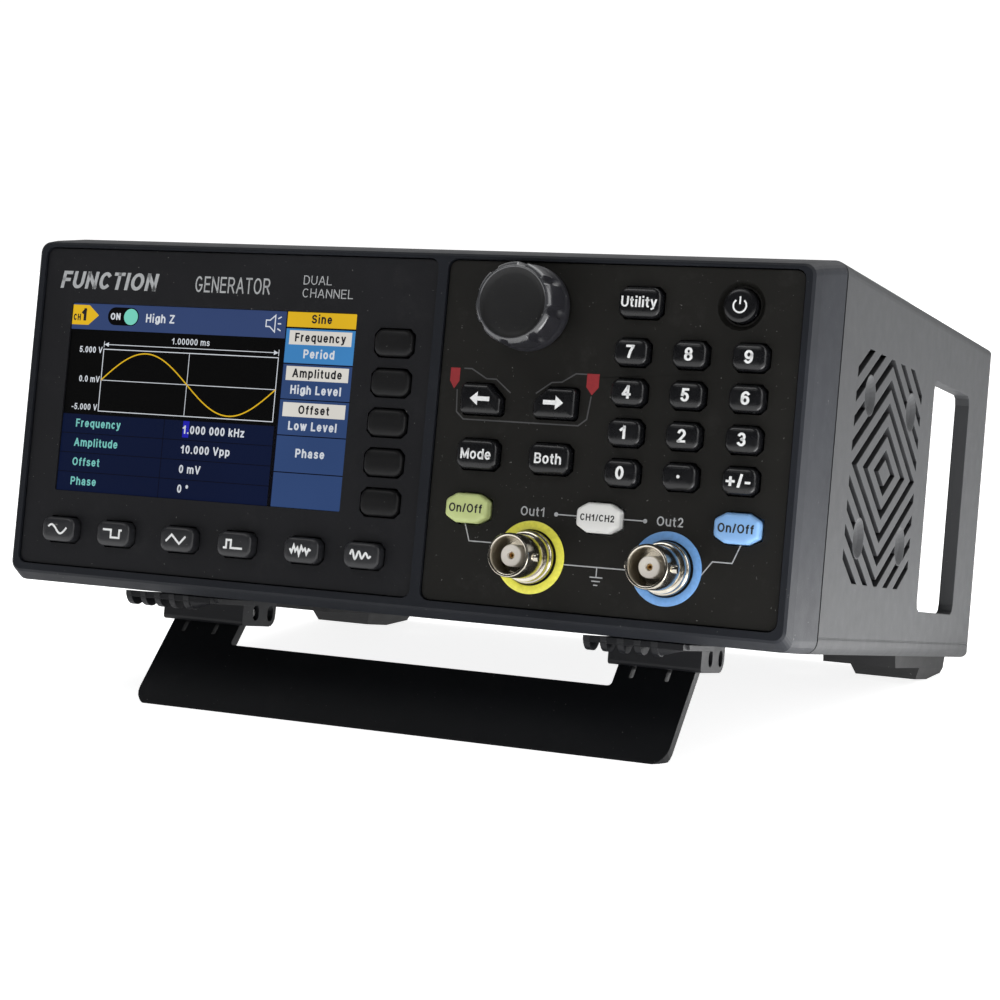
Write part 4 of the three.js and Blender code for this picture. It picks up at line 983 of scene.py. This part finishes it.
def screen_menu():
    """The menu on the right: a title, and a pair of names beside each soft key."""
    left, right, top, half_rule = MENU_LEFT, MENU_RIGHT, 4.0, 0.12
    centre = (left + right) / 2
    patch("menu", [rectangle(left, right, top, UI_BOTTOM)], "menu", 1)
    patch("menu_title", [rectangle(left, right, UI_EDGE, 3.6)], "yellow", 2)
    patch("menu_active", [rectangle(left, right, top, 12.0)], "active", 2)
    margin, height = 0.9, 3.3
    boxes = [rectangle(left + margin, right - margin, v, v + height) for v in (4.4, 12.75, 21.2)]
    patch("menu_boxes", boxes, "paper", 3)
    levels = (3.8, 12.2, 20.5, 28.9, 37.5)
    rules = [rectangle(left, right, v - half_rule, v + half_rule) for v in levels]
    rules.append(rectangle(PLOT_SIDE_END, left, UI_EDGE, UI_BOTTOM))
    patch("menu_rules", rules, "line", 3)
    for name, text, v, color in (
        ("shape", "Sine", 2.65, "dark"),
        ("item_1", "Frequency", 7.0, "dark"),
        ("item_1_other", "Period", 10.8, "white"),
        ("item_2", "Amplitude", 15.35, "dark"),
        ("item_2_other", "High Level", 19.2, "white"),
        ("item_3", "Offset", 23.8, "dark"),
        ("item_3_other", "Low Level", 27.6, "white"),
        ("item_4", "Phase", 33.9, "white"),
    ):
        words("menu_" + name, text, centre, v, 2.05, color, align="CENTER", weight=0.19)


def display():
    """The glass, and the picture in front of it in thin layers."""
    corners = rectangle(SCREEN_LEFT, SCREEN_RIGHT, SCREEN_BOTTOM, SCREEN_TOP)
    outline = rounded(inset(corners, 0.06), 0.25, 4)
    thickness = 1.5
    rings = slices(outline, (SCREEN_FACE, SCREEN_FACE + thickness))
    glass = material_nodes("display_glass")
    glass.set("Base Color", (0.004, 0.004, 0.006))
    glass.set("Roughness", glass.ramp(glass.noise(12, 4), 0.3, 0.7, 0.08, 0.16))
    piece("display_glass", *skin(rings), glass.owner, replaces=["lcd_window"])
    screen_header()
    screen_plot()
    screen_rows()
    screen_menu()


# ---- CAD nodes that keep their shape ----


def dress_case():
    """A material and softer edges for each CAD node that is kept."""
    dress("front_bezel", BEZEL_PLASTIC, 0.12, 2, sharp=25)
    dress("display_panel", DISPLAY_PLASTIC, 0.12, 2)
    dress("keypad_panel", KEYPAD_PLASTIC, 0.12, 2)
    dress("top_cover", CASE_PLASTIC, 0.0)
    dress("bottom_cover", CASE_PLASTIC, 0.3)
    dress("rear_panel", REAR_SHEET, 0.2)
    dress("mains_inlet", BLACK_PLASTIC, 0.3)
    dress("mains_rocker", BLACK_PLASTIC, 0.3)
    dress("usb_port", STEEL, 0.1)
    dress("encoder", STEEL, 0.1)
    dress("lcd_module", STEEL, 0.2)
    dress("keypad_membrane", MEMBRANE, 0.1)
    for node in ("key_board", "main_board", "power_supply"):
        dress(node, BOARD, 0.15)
    for side in ("left", "right"):
        dress(side + "_front_foot", FOOT_PLASTIC, 0.12)
        dress(side + "_rear_foot", FOOT_RUBBER, 0.5, 3)
        dress(side + "_hinge_pin", STEEL, 0.1)
    dress("tilt_stand", STAND_PLASTIC, 0.5, 3, sharp=25)


def seals():
    """A near-black sheet deep in the groove behind the bezel, painted shade of the groove, and strips that
    fill the covers' joint.
    """
    low, high = case_bounds("front_bezel")
    cover_low, cover_high = case_bounds("bottom_cover")
    depth, overlap, radius = 0.9, 0.2, 2.2
    corners = rectangle(low.x + depth, high.x - depth, low.z + depth, high.z - depth)
    outline = rounded(corners, radius)
    rings = slices(outline, (high.y - overlap, cover_low.y + overlap))
    # A dark tube in the groove between bezel and covers: painted shade
    piece("bezel_groove_shade", *skin(rings, (False, False)), GAP_SHADE)
    joint, recess, inner = (COVER_JOINT - 0.02, COVER_JOINT + 0.32), 0.02, 3.6
    ends = (cover_low.y + 0.05, cover_high.y - 6)
    for name, side in (("left", -1), ("right", 1)):
        faces = [side * (cover_high.x - recess), side * (cover_high.x - inner)]
        section = rectangle(min(faces), max(faces), *joint)
        piece(name + "_cover_seal", *skin(slices(section, ends)), CASE_PLASTIC)


# ---- Small parts ----


def screw(name, x, y, z, axis, material, radius=2.6):
    """A round screw head with a cross recess; axis is the way that it faces."""
    turn = Vector((0, 0, 1)).rotation_difference(Vector(axis))
    dome = [(0.3, 0.75), (0.7, 0.62), (0.93, 0.35), (1.0, 0.0)]
    slot_half, slot_reach, slot_depth = 0.28 * radius, 0.8, 0.55
    rings = []
    for share, height in dome:
        ring = []
        for px, pz in circle(radius * share, 40):
            in_slot = min(abs(px), abs(pz)) < slot_half and share < slot_reach
            ring.append((px, pz, height - (slot_depth if in_slot else 0.0)))
        rings.append(ring)
    verts, faces = skin(rings)
    placed = [turn @ Vector(v) + Vector((x, y, z)) for v in verts]
    piece(name, placed, faces, material)


def screws():
    """Four screws under the case and four in the rear panel."""
    below = [(x, y) for y in (52, 150) for x in (-60, 60)]
    behind = [(x, z) for z in (10, 77) for x in (-90, 90)]
    for i, (x, y) in enumerate(below, 1):
        screw(f"underside_screw_{i}", x, y, -0.02, (0, 0, -1), STEEL)
    for i, (x, z) in enumerate(behind, 1):
        screw(f"rear_screw_{i}", x, REAR_SCREW_SEAT, z, (0, 1, 0), STEEL, 2.2)


def fan_guard():
    """Wire rings on two cross wires, over a flat near-black disc, painted shade in the mouth of the rear
    fan.
    """
    mouth, wire, ring_height, cross_height, half_cross = 21.0, 0.65, 1.6, 0.75, 24.0
    face = case_bounds("rear_panel")[1].y
    disc = [(0.1, face + 0.05), (mouth - 0.3, face + 0.05), (mouth, face)]
    # A dark disc on the rear face: painted shade of the fan's mouth
    piece("fan_mouth_shade", *turned(disc, FAN_X, FAN_Z, caps=(True, False)), GAP_SHADE)
    for i, radius in enumerate((4.5, 9.0, 13.5, 18.0, 22.0), 1):
        profile = [(radius + px, face + ring_height + py) for px, py in circle(wire, 12)]
        rings = turned(profile + profile[:1], FAN_X, FAN_Z, 96, (False, False))
        piece(f"fan_guard_ring_{i}", *rings, STEEL)
    for name, angle in (("rising", math.pi / 4), ("falling", -math.pi / 4)):
        along = Vector((math.cos(angle), 0, math.sin(angle)))
        across = Vector((-along.z, 0, along.x))
        middle = Vector((FAN_X, face + cross_height, FAN_Z))
        ends = [middle + along * reach for reach in (-half_cross, half_cross)]
        rings = [[end + across * u + Vector((0, v, 0)) for u, v in circle(wire, 12)] for end in ends]
        piece(f"fan_guard_{name}_wire", *skin(rings), STEEL)


def inlet_blades():
    """The three contacts inside the mains inlet."""
    root, shoulder, end = 92.5, 102.6, 103.1
    for i, (x, z) in enumerate(((-73, 30.0), (-59, 30.0), (-66, 34.5)), 1):
        outline = rounded(rectangle(x - 1, x + 1, z - 2, z + 2), 0.3, 3)
        rings = slices(outline, (root, shoulder)) + slices(inset(outline, 0.25), (end,))
        piece(f"inlet_blade_{i}", *skin(rings), STEEL)


# ---- Stage ----


ROOM = 0.03  # brightness of the dark room in front of the object
BACKDROP = 0.6  # brightness of the white backdrop behind it
PLAIN_WHITE = 1.1  # brightness of what the camera sees past the object
TABLE_GLOW = 0.85  # the table is a light box, so that shadows on it stay pale


def floor():
    """A pale table that gives off light."""
    mesh = bpy.data.meshes.new("floor")
    reach = 12.0
    corners = [(-reach, -reach, 0), (reach, -reach, 0), (reach, reach, 0), (-reach, reach, 0)]
    mesh.from_pydata(corners, [], [(0, 1, 2, 3)])
    obj = add_object("floor", mesh)
    nodes = material_nodes("floor_paper")
    tone = nodes.mix(nodes.ramp(nodes.noise(60, 3), 0.3, 0.7), (0.84, 0.84, 0.84), (0.88, 0.88, 0.88))
    nodes.set("Base Color", tone)
    nodes.set("Roughness", 0.9)
    nodes.set("Specular IOR Level", 0.2)
    nodes.set("Emission Color", (1, 1, 1))
    nodes.set("Emission Strength", TABLE_GLOW)
    mesh.materials.append(nodes.owner)


def light(name, kind, spot, target, power, **values):
    """A light at a spot that faces a target."""
    data = bpy.data.lights.new(name, kind)
    data.energy = power
    for key, value in values.items():
        setattr(data, key, value)
    obj = add_object(name, data)
    obj.location = spot
    aim = Vector(target) - Vector(spot)
    obj.rotation_euler = aim.to_track_quat("-Z", "Y").to_euler()


def studio():
    """A white backdrop behind the object, and a dim room in front of it.

    The camera itself sees plain white.
    """
    nodes = Nodes(bpy.data.worlds.new("studio"), "Background")
    nodes.set("Color", (1, 1, 1))
    way = nodes.add("SeparateXYZ", Vector=nodes.place["Generated"]).outputs["Y"]
    around = nodes.ramp(way, -0.3, 0.5, ROOM, BACKDROP)
    seen = nodes.add("LightPath").outputs["Is Camera Ray"]
    strength = nodes.add("Mix", Factor=seen, A=around, B=PLAIN_WHITE)
    nodes.set("Strength", strength.outputs["Result"])
    bpy.context.scene.world = nodes.owner


def softbox(name, spot, target, power, width, height):
    light(name, "AREA", spot, target, power, shape="RECTANGLE", size=width, size_y=height)


def lights():
    """A wide overhead light, two softboxes, and light from the table onto the right side."""
    middle = (0, 0, 0.06)
    light("overhead", "SUN", (0.6, 0.9, 1.5), middle, 1.7, angle=math.radians(60))
    softbox("right_softbox", (0.9, -0.35, 0.5), middle, 3, 0.5, 0.7)
    softbox("table_light", (0.2, 0.0, 0.001), (0.2, 0.0, 1.0), 0.8, 0.16, 0.3)
    softbox("front_softbox", (-0.5, -0.9, 1.1), middle, 4, 1.0, 0.4)


CAMERA_LENS = 84.19
CAMERA_SPOT = (238.65, -474.37, 10.97)  # in the case's frame, as are the two directions
CAMERA_AIM = (-0.40216, 0.91499, 0.03258)
CAMERA_UP = (-0.06812, -0.06539, 0.99553)


def camera():
    """The camera looks at the front and the right side, from near the table's level."""
    data = bpy.data.cameras.new("camera")
    data.sensor_width = 36
    data.lens = CAMERA_LENS
    data.clip_start = 0.01
    obj = add_object("camera", data)
    aim, up = Vector(CAMERA_AIM).normalized(), Vector(CAMERA_UP).normalized()
    turn = Matrix((aim.cross(up), up, -aim)).transposed().to_quaternion()
    obj.rotation_mode = "QUATERNION"
    obj.rotation_quaternion = CASE_TURN @ turn
    obj.location = CASE @ Vector(CAMERA_SPOT)
    bpy.context.scene.camera = obj


camera()
dress_case()
seals()
soft_keys()
wave_keys()
digit_keys()
menu_keys()
output_keys()
power_button()
knob()
for number, socket_x in enumerate(SOCKET_X, 1):
    socket(f"output_{number}", f"output_socket_{number}", socket_x, SOCKET_Z, SOCKET_BASE, -1)
socket("rear_output", "rear_socket", REAR_SOCKET_X, REAR_SOCKET_Z, REAR_SOCKET_BASE, 1)
output_rings()
keypad_printing()
display_printing()
display()
inlet_blades()
fan_guard()
screws()
floor()
studio()
lights()
bpy.context.scene.view_settings.view_transform = "Standard"
